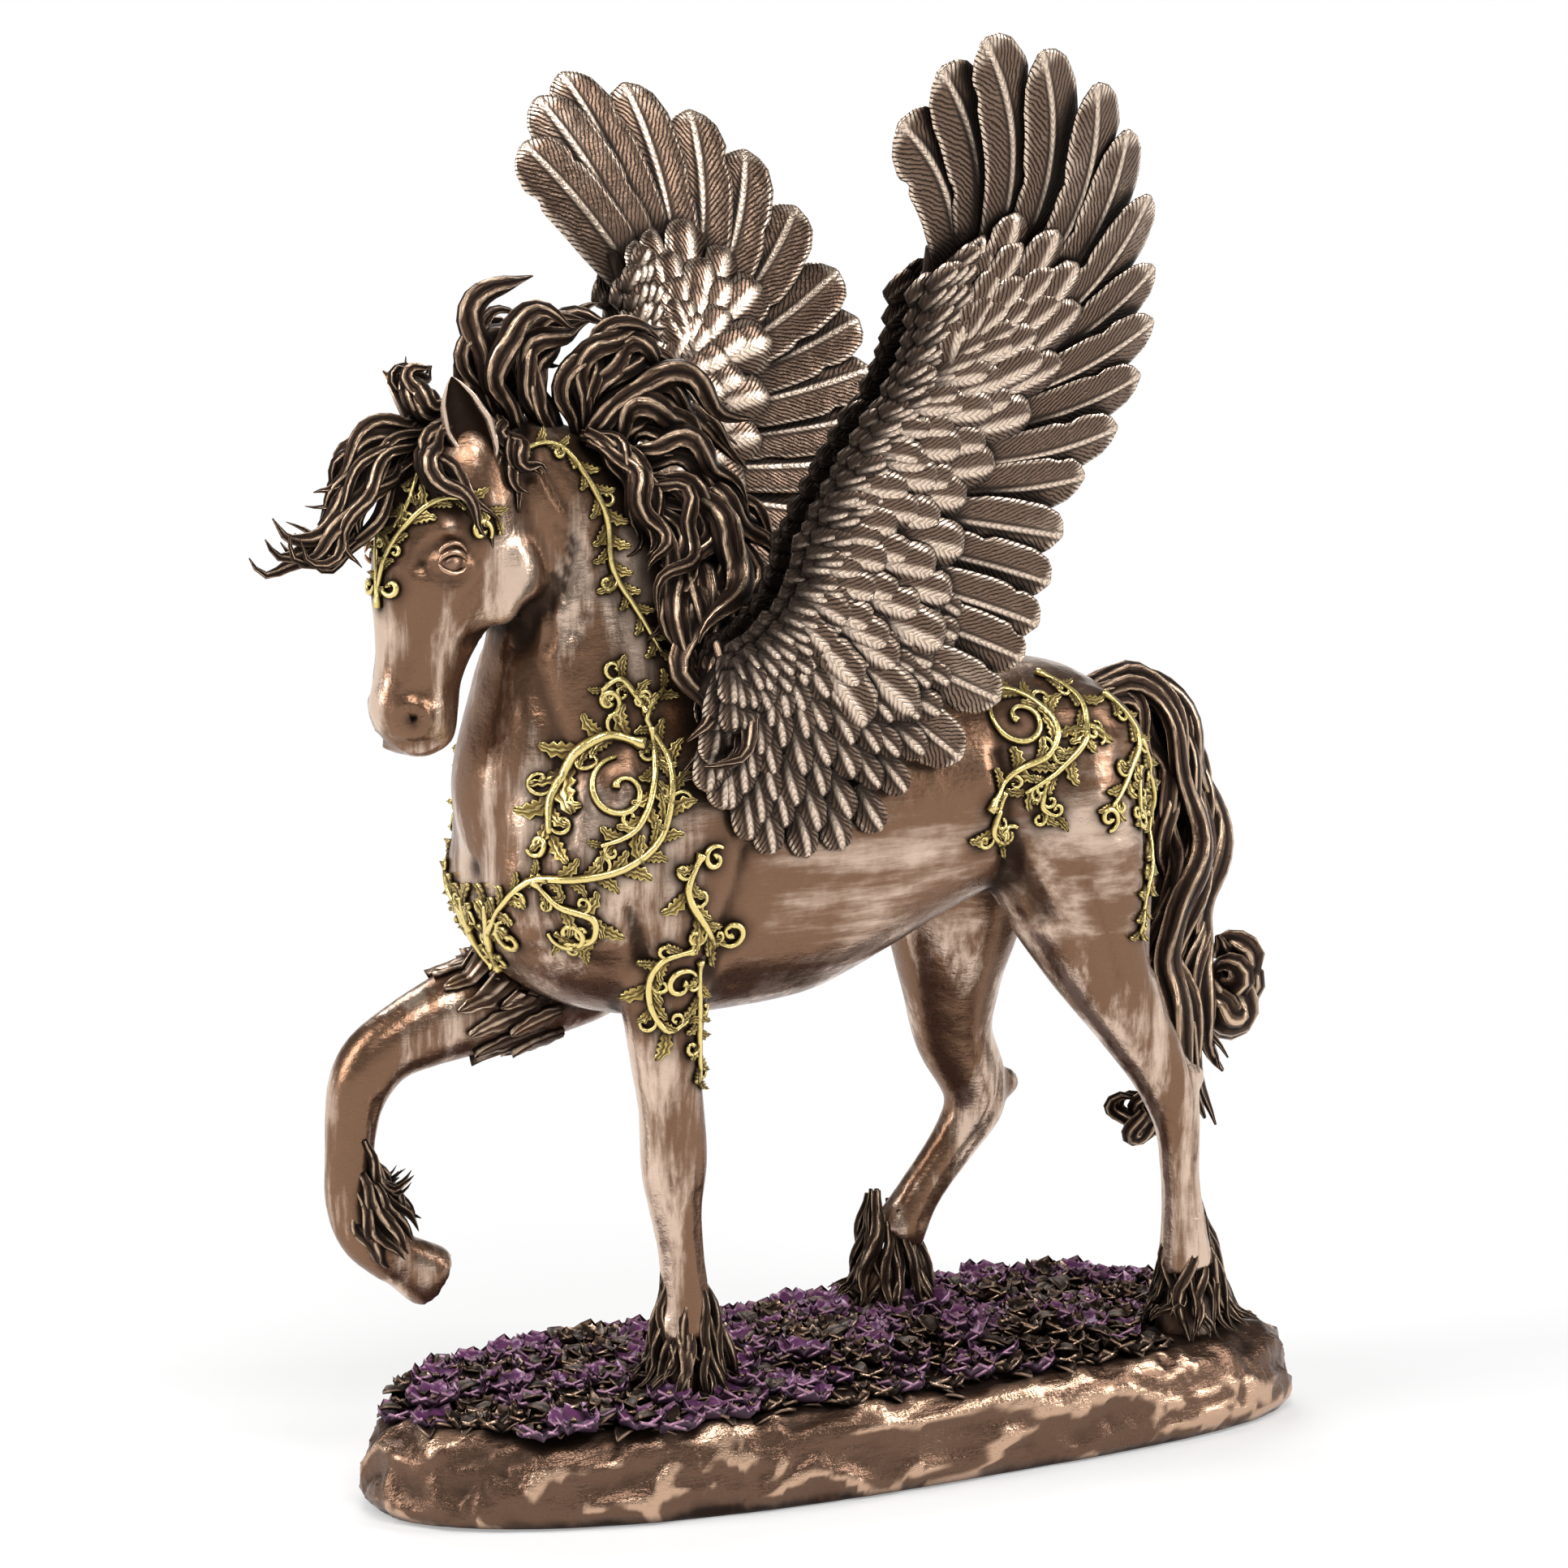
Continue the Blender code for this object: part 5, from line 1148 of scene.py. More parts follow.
@dataclass
class Hair:
    """Wavy locks of hair, each a flat bundle with ridges that wind round it.

    Attributes:
        name: Name of the piece.
        locks: Width share, then control points, for each lock.
        width: Width of a lock of share one, in millimetres.
        ridges: Ridges round a lock.
        twist: Turns of the ridges from root to tip.
        outward: Direction that faces away from the horse; its y is turned to each lock's side.
        copies: Locks that grow from each row of points.
        widest: Share of the length at which a lock is widest.
        scatter: How far the copies stand apart, in millimetres.
        wave: Height of a lock's waves.
        waves: Waves along a lock.
        seed: Number that sets the small differences.
        underside_shaded: Whether the locks lie on a body, so that their undersides get painted shade and the ridges of
            their upper sides painted highlights.
        stations: Rings along a lock.
        corners: Corners of a ring.
    """

    name: str
    locks: tuple
    width: float
    ridges: int = 5
    twist: float = 0.35
    outward: tuple = (0.0, 1.0, 0.5)
    copies: int = 1
    widest: float = 0.45
    scatter: float = 2.8
    wave: float = 0.0
    waves: float = 2.2
    seed: int = 3
    underside_shaded: bool = True
    stations: int = 22
    corners: int = 18

    def surface(self) -> Surface:
        """All the locks as one surface.

        Each is an oval tube on its wavy line. Its reach is raised to 1.14 on the ridges and drops to
        0.72 between them, by |cos(ridges a / 2 + pi twist s)| of the angle a and the share s.
        """
        chance = np.random.default_rng(self.seed)
        place = np.linspace(0, 1, self.stations)
        paths, halves, ups = [], [], []
        for share, *control in (row for row in self.locks for _ in range(self.copies)):
            points = np.array(control, float)
            side = np.sign(points[:, 1].mean() or -1.0)
            if self.copies > 1:
                points += chance.normal(0, self.scatter, 3) * (0.3 + 0.7 * np.linspace(0, 1, len(points))[:, None])
            line = curve_through(points, self.stations)
            up = unit(np.array(self.outward) * (1.0, side, 1.0))
            _, across, out = path_frames(line[None], up)
            swell = math.tau * (place * self.waves * chance.uniform(0.8, 1.2) + chance.uniform())
            swing = self.wave * ease(0.0, 0.3, place) * chance.uniform(0.7, 1.3)
            paths.append(line + across[0] * (swing * np.sin(swell))[:, None]
                         + out[0] * (0.6 * swing * np.cos(swell))[:, None])
            halves.append(self.width / 2 * share * pointed(self.stations, 0.6, self.widest) * chance.uniform(0.6, 1.1))
            ups.append(np.broadcast_to(up, (self.stations, 3)))
        paths, halves, ups = np.array(paths), np.array(halves), np.array(ups)
        rings, angle = tubes(paths, halves, ups, self.corners, 0.72)
        phase = chance.uniform(0, math.pi, (len(paths), 1, 1)) + math.pi * self.ridges * self.twist * place[:, None]
        comb = np.abs(np.cos(self.ridges / 2 * angle + phase))
        rings = paths[:, :, None] + (rings - paths[:, :, None]) * (0.72 + 0.42 * comb)[..., None]
        length = np.cumsum(np.linalg.norm(np.diff(paths, axis=1, prepend=paths[:, :1]), axis=2), axis=1)
        grain = np.stack([angle * 2.2 + phase, np.broadcast_to(length[..., None], angle.shape),
                          np.broadcast_to(chance.uniform(0, 1, (len(paths), 1, 1)), angle.shape)], axis=-1)
        # Painted shade on the undersides of locks that lie on the body, and painted highlights on the ridges of their
        # upper sides; dark wash between the ridges.
        facing = np.sin(angle) if self.underside_shaded else np.ones_like(angle)
        wash = np.maximum(1 - ease(0.25, 0.85, comb), ease(0.2, -0.7, facing))
        wear = ease(0.80, 0.99, comb) * ease(-0.1, 0.5, facing)
        return loft(rings, grain, wash, wear)

    def build(self) -> Object:
        """Make the piece."""
        return make_mesh(self.name, self.surface())


@dataclass
class FetlockHair:
    """Long hair that fans from the fetlocks over the hooves.

    Attributes:
        strands: Locks round each standing foot.
        length: Height of the fan.
        lock_width: Width of a lock.
    """

    strands: int = 30
    length: float = 24.0
    lock_width: float = 2.9

    def locks(self) -> tuple:
        """Control points of all the locks, fanned round the feet by angle."""
        chance = np.random.default_rng(8)
        rows = []
        for x, y, size in FETLOCKS:
            for angle in np.linspace(0, math.tau, self.strands, endpoint=False) + chance.normal(0, 0.1, self.strands):
                c, s = math.cos(angle), math.sin(angle)
                back = size * (1.0 + 0.35 * max(c, 0) - 0.12 * max(-c, 0))
                top = GROUND + self.length * chance.uniform(0.6, 1.15)
                foot = GROUND + chance.uniform(-0.5, 2.0) + (4.0 if c < -0.6 else 0.0)
                wave = chance.uniform(-2.0, 2.0)
                rows.append((chance.uniform(0.6, 1.2), (x + 3.6 * c, y + 3.4 * s, top),
                             (x + 5.2 * back * c - wave * s * 0.6, y + 4.8 * size * s + wave * c * 0.6,
                              GROUND + (top - GROUND) * 0.66),
                             (x + 7.0 * back * c + wave * s, y + 6.6 * size * s - wave * c,
                              GROUND + (top - GROUND) * 0.33),
                             (x + 9.4 * back * c, y + 8.8 * size * s, foot + 1.6),
                             (x + 12.0 * back * c, y + 11.0 * size * s, foot)))
        down, side = unit(np.array((0.78, 0.0, -0.62))), np.array((0.0, 1.0, 0.0))
        fore = np.cross(side, down)
        for angle in np.linspace(0, math.tau, 16, endpoint=False):
            out = fore * math.cos(angle) + side * math.sin(angle)
            start = np.array((-85.2, 18.5, 61.0 + 3 * math.sin(3 * angle))) + out * 3.6
            middle = np.array((-81.2, 18.5, 53.5)) + out * 6.4
            end = np.array((-76.0, 18.5, 48.2)) + out * 6.3
            between = (start + middle) / 2 + out * 1.2
            rows.append((chance.uniform(0.9, 1.25), *map(tuple, (start, between, middle, end))))
        for step in range(10):
            y = 18.5 + (step - 4.5) * 0.95
            lift = chance.uniform(0, 3.0)
            rows.append((1.0, (-84.8, y, 72 - lift), (-82.0, y, 65 - lift), (-78.5, y, 61.5 - lift),
                         (-75.5, y, 61.5 - lift * 0.5), (-73.0 - lift * 0.6, y, 63.5 - lift)))
        return tuple(rows)

    def build(self) -> Object:
        """Make the piece."""
        return Hair("fetlock_hair", self.locks(), self.lock_width, ridges=4, wave=0.7, waves=1.4, underside_shaded=False,
                    stations=15, corners=12).build()


@dataclass
class Scrollwork:
    """Raised scrolls on the skin: stems and curls with balls and lobed leaves.

    Attributes:
        skin: Skin that they are laid on.
        stem_width: Width of a stem of share one.
        stem_rise: Height of a stem's middle over the skin.
        leaf_length: Length of a leaf.
        leaf_width: Width of a leaf.
        leaf_gap: Distance between leaves along a stem.
        tendril_radius: Reach of a side tendril of a stem of share one.
        shade_width: Width of the painted shade round the stems.
        shade_strength: Strength of that painted shade.
    """

    skin: Skin
    stem_width: float = 1.55
    stem_rise: float = 0.55
    leaf_length: float = 8.2
    leaf_width: float = 3.4
    leaf_gap: float = 2.4
    tendril_radius: float = 2.1
    shade_width: float = 3.4
    shade_strength: float = 0.62

    def lines(self) -> list[tuple[float, Array, bool]]:
        """Stems and curls of both sides.

        Returns:
            For each: width share, its places, and whether leaves grow on it.
        """
        rows = []
        for side in Side:
            mirror = np.array((1.0, -side.value, 1.0))
            groups = [(BODY_STEMS, BODY_CURLS, False), (HEAD_STEMS, HEAD_CURLS, True)]
            if side is Side.NEAR:
                groups.append((NEAR_LEG_STEMS, NEAR_LEG_CURLS, False))
            for stems, curls, on_head in groups:
                for share, *control in stems:
                    path = curve_through(np.array(control, float) * mirror, 34)
                    path = turn_head(path) if on_head else path
                    rows.append((share, path, True))
                    for number, at in enumerate((10, 24) if on_head else (6, 14, 23, 31)):
                        radius = self.tendril_radius * share * (0.8 + 0.15 * (number % 3))
                        rows.append((0.6, self.tendril(path, at, radius, 1 if number % 2 else -1), False))
                for x, y, z, radius, turns, start in curls:
                    middle = np.array((x, y, z), float) * mirror
                    middle = turn_head(middle) if on_head else middle
                    rows.append((0.85, self.curl(middle, radius, turns, start, side), False))
        return rows

    def curl(self, middle: Array, radius: float, turns: float, start: float, side: Side) -> Array:
        """Spiral on the skin, from its middle out: the reach grows evenly with the angle."""
        spot, normal = self.skin.snap(middle[None], 0.0)
        beside = unit(np.cross(normal[0], (0.0, 0.0, 1.0)))
        above = np.cross(beside, normal[0])
        share = np.linspace(0, 1, 30)[:, None]
        turn = math.radians(start if side is Side.NEAR else 180 - start) + math.tau * turns * -side.value * share
        return spot[0] + (beside * np.cos(turn) + above * np.sin(turn)) * radius * (0.16 + 0.84 * share)

    def tendril(self, path: Array, at: int, radius: float, hand: int) -> Array:
        """Small spiral that leaves a stem along its direction and winds inwards by 0.9 of a turn."""
        spot, normal = self.skin.snap(path[at:at + 1], 0.0)
        along = unit(path[min(at + 1, 33)] - path[at - 1])
        beside = unit(np.cross(normal[0], along)) * hand
        share = np.linspace(0, 1, 12)[:, None]
        turn, reach = share * math.tau * 0.9, radius * (1 - 0.8 * share)
        middle = spot[0] + beside * radius
        return (middle + reach * (along * np.sin(turn) - beside * np.cos(turn)))[::-1]

    def tube(self, share: float, path: Array) -> Surface:
        """Half-sunk round stem that swells in the middle and ends in a small ball."""
        path, normal = self.skin.snap(path, self.stem_rise)
        path = curve_through(path, len(path))
        t = np.linspace(0, 1, len(path))
        half = self.stem_width / 2 * share * (0.55 + 0.45 * np.sin(math.pi * t))
        half = half + 0.65 * share * bell(t, 0.05)
        rings, angle = tubes(path[None], half[None], normal[None], 6, 0.95)
        # Crests burnished; the underside, where the stem meets the skin, dark as painted shade.
        wear = ease(0.0, 0.9, np.sin(angle))
        return loft(rings, rings, np.clip(-np.sin(angle) + 0.15, 0, 1), wear)

    def leaves(self, share: float, path: Array, seed: int) -> list[Surface]:
        """Lobed leaves that leave a stem on both sides and bend back towards its root.

        A leaf's half width is w(v) * (0.5 + 0.5 |cos(4.5 pi v)|), which gives rounded lobes, with a
        small ball at the tip, and its middle line is an arc that turns by up to 90 degrees.
        """
        chance = np.random.default_rng(seed)
        path, normals = self.skin.snap(path, 0.0)
        length = np.concatenate([[0], np.cumsum(np.linalg.norm(np.diff(path, axis=0), axis=1))])
        count = max(int(length[-1] / self.leaf_gap), 1)
        parts = []
        for number in range(count):
            place = (number + 0.6) / count
            at = place * (len(path) - 1)
            low = min(int(at), len(path) - 2)
            root = path[low] + (path[low + 1] - path[low]) * (at - low)
            normal, along = normals[low], unit(path[low + 1] - path[low])
            beside = np.cross(normal, along) * (1 if number % 2 else -1)
            size = share * chance.uniform(0.6, 1.0) * (0.7 + 0.3 * math.sin(math.pi * place))
            v = np.linspace(0, 1, 10)[:, None]
            turn = np.radians(12 + 78 * v ** 1.3 * chance.uniform(0.4, 1.2))
            step = along * np.cos(turn) + beside * np.sin(turn)
            line = root + np.cumsum(step, axis=0) * self.leaf_length * size / len(v)
            across = unit(np.cross(normal, step))
            lobes = 0.5 + 0.5 * np.abs(np.cos(4.5 * math.pi * v))
            w = np.sin(math.pi * np.clip(v * 0.93 + 0.05, 0, 1)) ** 0.8 * lobes
            w = np.maximum(w, 0.48 * bell(v, 0.07, 0.93))
            u = np.linspace(-1, 1, 7)
            half = self.leaf_width / 2 * size * w
            flat = line[:, None] + across[:, None] * (u * half)[..., None]
            rise = 0.35 + 0.45 * np.abs(u) ** 1.5 * w + 0.9 * v ** 3 + 0.5 * bell(u, 0.25)
            wash = np.maximum(0.85 * bell(np.abs(u), 0.24, 0.4), 0.8 * (1 - v) ** 2)
            wear = np.maximum(np.abs(u) ** 3, bell(u, 0.2)) * v ** 0.5
            parts.append(self.skin.laid_leaf(flat, rise, wash, wear))
        return parts

    def build(self) -> Object:
        """Make the gold scrolls."""
        parts = []
        lines = self.lines()
        self.skin.shade_round([path for _, path, _ in lines], self.shade_width, self.shade_strength)
        for number, (share, path, leafy) in enumerate(lines):
            parts.append(self.tube(share, path))
            if leafy:
                parts.extend(self.leaves(share, path, 40 + number))
        return make_mesh("gold_scrollwork", joined(parts))


@dataclass
class LegCuff:
    """Ring of pointed bronze leaves that hang round the top of the raised foreleg.

    Attributes:
        skin: Skin that they are laid on.
        leaves: Leaves round the leg.
        length: Length of a leaf.
        width: Width of a leaf.
    """

    skin: Skin
    leaves: int = 11
    length: float = 15.0
    width: float = 6.0

    def build(self) -> Object:
        """Make the leaves: each runs down the leg from its ring, with a raised rib and lobes."""
        parts = []
        beside = unit(np.cross(CUFF_AXIS, (0.0, 0.0, 1.0)))
        above = np.cross(beside, CUFF_AXIS)
        v, u = np.linspace(0, 1, 14)[:, None], np.linspace(-1, 1, 7)
        lobes = 0.7 + 0.3 * np.abs(np.cos(3.5 * math.pi * v))
        w = np.sin(math.pi * np.clip(v * 0.8 + 0.16, 0, 1)) ** 0.8 * lobes
        wash = 0.7 * (1 - v) + 0.3 * bell(np.abs(u), 0.2, 0.4)
        wear = np.maximum(np.abs(u) ** 3, bell(u, 0.2)) * np.ones_like(v)
        for row in range(2):
            size = 1.0 - 0.25 * row
            rise = 0.3 + 0.5 * row + 0.5 * u ** 2 * w + 1.4 * v ** 3 + 0.4 * bell(u, 0.2)
            for number in range(self.leaves):
                angle = math.tau * (number + 0.5 * row) / self.leaves
                out = beside * math.cos(angle) + above * math.sin(angle)
                line = CUFF_MIDDLE + CUFF_AXIS * (v * self.length * size - 4 - 4 * row) + out * 12
                across = np.cross(CUFF_AXIS, out)
                flat = line[:, None] + across * (u * self.width / 2 * size * w)[..., None]
                parts.append(self.skin.laid_leaf(flat, rise, wash, wear))
        return make_mesh("foreleg_cuff_leaves", joined(parts))


@dataclass
class Plinth:
    """Rocky plinth with a chiselled rim and an uneven top.

    Attributes:
        length: Length at its widest level.
        width: Width there.
        height: Height of the rim.
        centre: Middle of the outline, x and y.
        roughness: Depth of the chiselling.
        swell: How much the ground rises to the middle.
    """

    length: float = 200.0
    width: float = 76.0
    height: float = 18.0
    centre: tuple = (11.0, 2.0)
    roughness: float = 2.0
    swell: float = 2.5

    def outline(self, angle: Array, scale: Array) -> Array:
        """Superellipse of power 4 behind the horse and 2.2 in front of it."""
        c, s = np.cos(angle), np.sin(angle)
        power = 2 / np.where(c > 0, 4.0, 2.2)
        x = self.centre[0] + self.length / 2 * scale * np.sign(c) * np.abs(c) ** power
        y = self.centre[1] + self.width / 2 * scale * np.sign(s) * np.abs(s) ** power
        return np.stack([x, y, np.zeros_like(x)], axis=-1)

    def build(self) -> Object:
        """Make the plinth: rings from the flat underside up the rim and in over the ground.

        The rim is moved outwards by ridged noise, 1 - |noise|, whose sharp crests read as chips.
        """
        height, scale, rough = np.array(PLINTH_RINGS).T
        angle = ring_angles(560)
        rings = self.outline(*np.broadcast_arrays(angle, scale[:, None]))
        rings[..., 2] = self.height * height[:, None]
        top = (height > 0.9)[:, None]
        ground = self.swell * (1 - scale[:, None] ** 2) + 0.7 * fractal_noise(rings / 5, 3, seed=9)
        rings[..., 2] += np.where(top, ground, 0)
        outward = unit((rings - (*self.centre, 0)) * (1, 1, 0))
        warp = rings + 3.0 * np.stack([lattice_noise(rings / 11, seed) for seed in (31, 32, 33)], axis=-1)
        coarse, medium, fine = (
            1 - 2 * np.abs(lattice_noise(warp * (across, across, up), seed))
            for across, up, seed in ((0.055, 0.13, 21), (0.13, 0.30, 22), (0.34, 0.55, 23)))
        bump = 0.62 * coarse + 0.42 * medium + 0.22 * fine
        rings += outward * (bump * self.roughness * rough[:, None] * 0.75)[..., None]
        rings[..., 2] += np.where((height > 0.1) & (height < 0.99), 1, 0)[:, None] * medium * 0.8
        wash = np.clip(0.42 - 0.75 * bump, 0, 1) * (rough > 0)[:, None]
        wash = np.where(scale[:, None] < 0.90, 0.95, wash)
        wash[:2] = 0.3
        wear = ease(0.55, 1.0, bump) + ease(0.80, 0.9, height)[:, None] * (scale > 0.86)[:, None] * ease(0.2, 0.7, bump)
        return make_mesh("plinth_rock", loft(rings[None], rings[None], wash[None], wear[None]))


@dataclass
class FlowerBed:
    """Violet flowers with five petals and dark leaves crowded over the ground.

    Attributes:
        plinth: Plinth that they grow on.
        flower_width: Width of a flower.
        spacing: Distance between flowers.
        leaf_length: Length of a leaf.
        petal_thickness: Thickness of a petal.
        leaf_thickness: Thickness of a leaf.
        violet_share: Share of the flowers with violet paint; the others are bare bronze.
        clearance: Distance kept from the middle of each hoof.
        seed: Number that scatters them.
    """

    plinth: Plinth
    flower_width: float = 10.4
    spacing: float = 7.4
    leaf_length: float = 6.0
    petal_thickness: float = 0.75
    leaf_thickness: float = 0.6
    violet_share: float = 0.62
    clearance: float = 9.5
    seed: int = 11

    def spots(self, spacing: float, jitter: float, seed: int) -> Array:
        """Scattered places x, y, z on the ground, off the hooves and inside the rim."""
        chance = np.random.default_rng(seed)
        rows, columns = int(self.plinth.width / spacing) + 3, int(self.plinth.length / spacing) + 3
        row, column = np.meshgrid(np.arange(rows), np.arange(columns), indexing="ij")
        x = self.plinth.centre[0] + (column + 0.5 * (row % 2) - columns / 2) * spacing
        y = self.plinth.centre[1] + (row - rows / 2) * spacing * 0.9
        places = np.stack([x.ravel(), y.ravel()], axis=1) + chance.uniform(-jitter, jitter, (x.size, 2)) * spacing
        u = np.abs(places[:, 0] - self.plinth.centre[0]) / (self.plinth.length / 2 * 0.93)
        v = np.abs(places[:, 1] - self.plinth.centre[1]) / (self.plinth.width / 2 * 0.90)
        keep = u ** 3 + v ** 2.4 < 1
        for foot in HOOF_PRINTS:
            keep &= np.linalg.norm(places - foot, axis=1) > self.clearance
        places, edge = places[keep], np.maximum(u, v)[keep]
        z = self.plinth.height + self.plinth.swell * (1 - edge ** 2) - 1.2 * edge ** 4
        return np.column_stack([places, z + chance.uniform(-0.4, 1.6, len(places))])

    def turned(self, reach: Array, across: Array, rise: Array, turn: Array, size: Array) -> Array:
        """Places of blades from shares along, across and up, each blade turned and sized."""
        x = (reach * np.cos(turn) - across * np.sin(turn)) * size
        y = (reach * np.sin(turn) + across * np.cos(turn)) * size
        return np.stack([x, y, rise * size * np.ones_like(x)], axis=-1)

    def petals(self, spots: Array) -> Surface:
        """Petals: broad rounded blades, cupped up and notched at the tip, five to a flower.

        With v from root to tip and u across, a petal lies at reach v with half width
        0.74 sin(0.93 pi v^0.75)^0.75. It is cupped by v^1.4, ruffled by sin(5 u) v and creased at u = 0.
        """
        chance = np.random.default_rng(self.seed + 1)
        count = len(spots)
        turn = chance.uniform(0, math.tau, count)[:, None] + math.tau * np.arange(5) / 5
        turn = turn + chance.normal(0, 0.08, (count, 5))
        size = (self.flower_width / 2 * chance.uniform(0.82, 1.12, count))[:, None] * np.ones((1, 5))
        turn, size = turn.reshape(-1, 1, 1), size.reshape(-1, 1, 1)
        cup = chance.uniform(0.5, 1.2, (count * 5, 1, 1))
        v = np.linspace(0.04, 1, 5)[None, :, None]
        u = np.linspace(-1, 1, 5)[None, None]
        w = 0.74 * np.sin(math.pi * np.clip(v, 0, 1) ** 0.75 * 0.93) ** 0.75 + 0.03
        reach = v * (1 - 0.10 * bell(u, 0.3) * v ** 4 - 0.10 * u ** 2 * v)
        across = u * w
        ruffle = 0.10 * np.sin(5.0 * u + 9 * cup) * v + 0.16 * u ** 2 * v
        rise = 0.34 * cup * v ** 1.4 + ruffle - 0.10 * bell(u, 0.18) + 0.12
        top = self.turned(reach, across, rise, turn, size) + np.repeat(spots, 5, axis=0)[:, None, None]
        plain = np.ones(top.shape[:3])
        rim = np.maximum(ease(0.7, 1.0, np.abs(u)) * v ** 0.5, ease(0.84, 1.0, v)) * plain
        crease = bell(u, 0.16) * (1 - 0.5 * v) * plain
        wash = np.maximum(crease * 0.8, (1 - ease(0.0, 0.45, v)) * plain)
        number = np.broadcast_to(np.repeat(chance.uniform(0, 1, count), 5)[:, None, None], plain.shape)
        grain = np.stack([across * size * plain, reach * size * plain, number], axis=-1)
        rings = wrapped(top, top - np.array((0, 0, self.petal_thickness)))
        return loft(rings, wrapped(grain), wrapped(wash, plain), wrapped(rim))

    def hearts(self, spots: Array) -> Surface:
        """Small knob in the middle of each flower."""
        angle = np.linspace(0.3, math.pi - 0.3, 4)
        turn = ring_angles(6)
        ring = np.stack([np.sin(angle)[:, None] * np.cos(turn), np.sin(angle)[:, None] * np.sin(turn),
                         np.cos(angle)[:, None] * np.ones(6)], axis=-1) * 0.75
        rings = spots[:, None, None] + ring[None] + (0, 0, 1.0)
        return plain_shell(rings, 0.35, 0.75)

    def leaves(self, spots: Array) -> Surface:
        """Pointed leaves in all directions: half width sin(pi v), arched up and bent down at the tip."""
        chance = np.random.default_rng(self.seed + 2)
        count = len(spots)
        turn = chance.uniform(0, math.tau, (count, 1, 1))
        size = chance.uniform(0.8, 1.25, (count, 1, 1)) * self.leaf_length
        lean = chance.uniform(0.0, 0.75, (count, 1, 1))
        v = np.linspace(0.0, 1, 5)[None, :, None]
        u = np.linspace(-1, 1, 5)[None, None]
        across = u * (0.30 * np.sin(math.pi * (0.06 + 0.92 * v)) ** 0.9)
        rise = lean * v - 0.35 * v ** 2 + 0.25 * np.abs(u) * np.sin(math.pi * v) * 0.5 + 0.14
        top = self.turned(v - 0.3, across, rise, turn, size) + spots[:, None, None]
        rings = wrapped(top, top - np.array((0, 0, self.leaf_thickness)))
        plain = np.ones(top.shape[:3])
        wear = np.maximum(ease(0.6, 1.0, np.abs(u)), bell(u, 0.2) * 0.5) * plain
        return loft(rings, rings, wrapped(0.55 * plain), wrapped(wear))

    def build(self) -> list[Object]:
        """Make the flowers, their hearts and the leaves."""
        spots = self.spots(self.spacing, 0.20, self.seed)
        chance = np.random.default_rng(self.seed + 5)
        painted = chance.uniform(0, 1, len(spots)) < self.violet_share
        violet, bare = spots[painted], spots[~painted]
        leafy = self.spots(self.spacing * 0.56, 0.35, self.seed + 7)
        flowers = make_mesh("violet_flowers", self.petals(violet))
        hearts = make_mesh("flower_hearts", self.hearts(violet + (0, 0, 0.4)))
        leaves = make_mesh("dark_leaves", joined([self.leaves(leafy - (0, 0, 0.9)), self.petals(bare)]))
        return [flowers, hearts, leaves]


# Sockets of the shared groups that hold a colour
COLOURS = ("Dark", "Middle", "Bright", "Color")


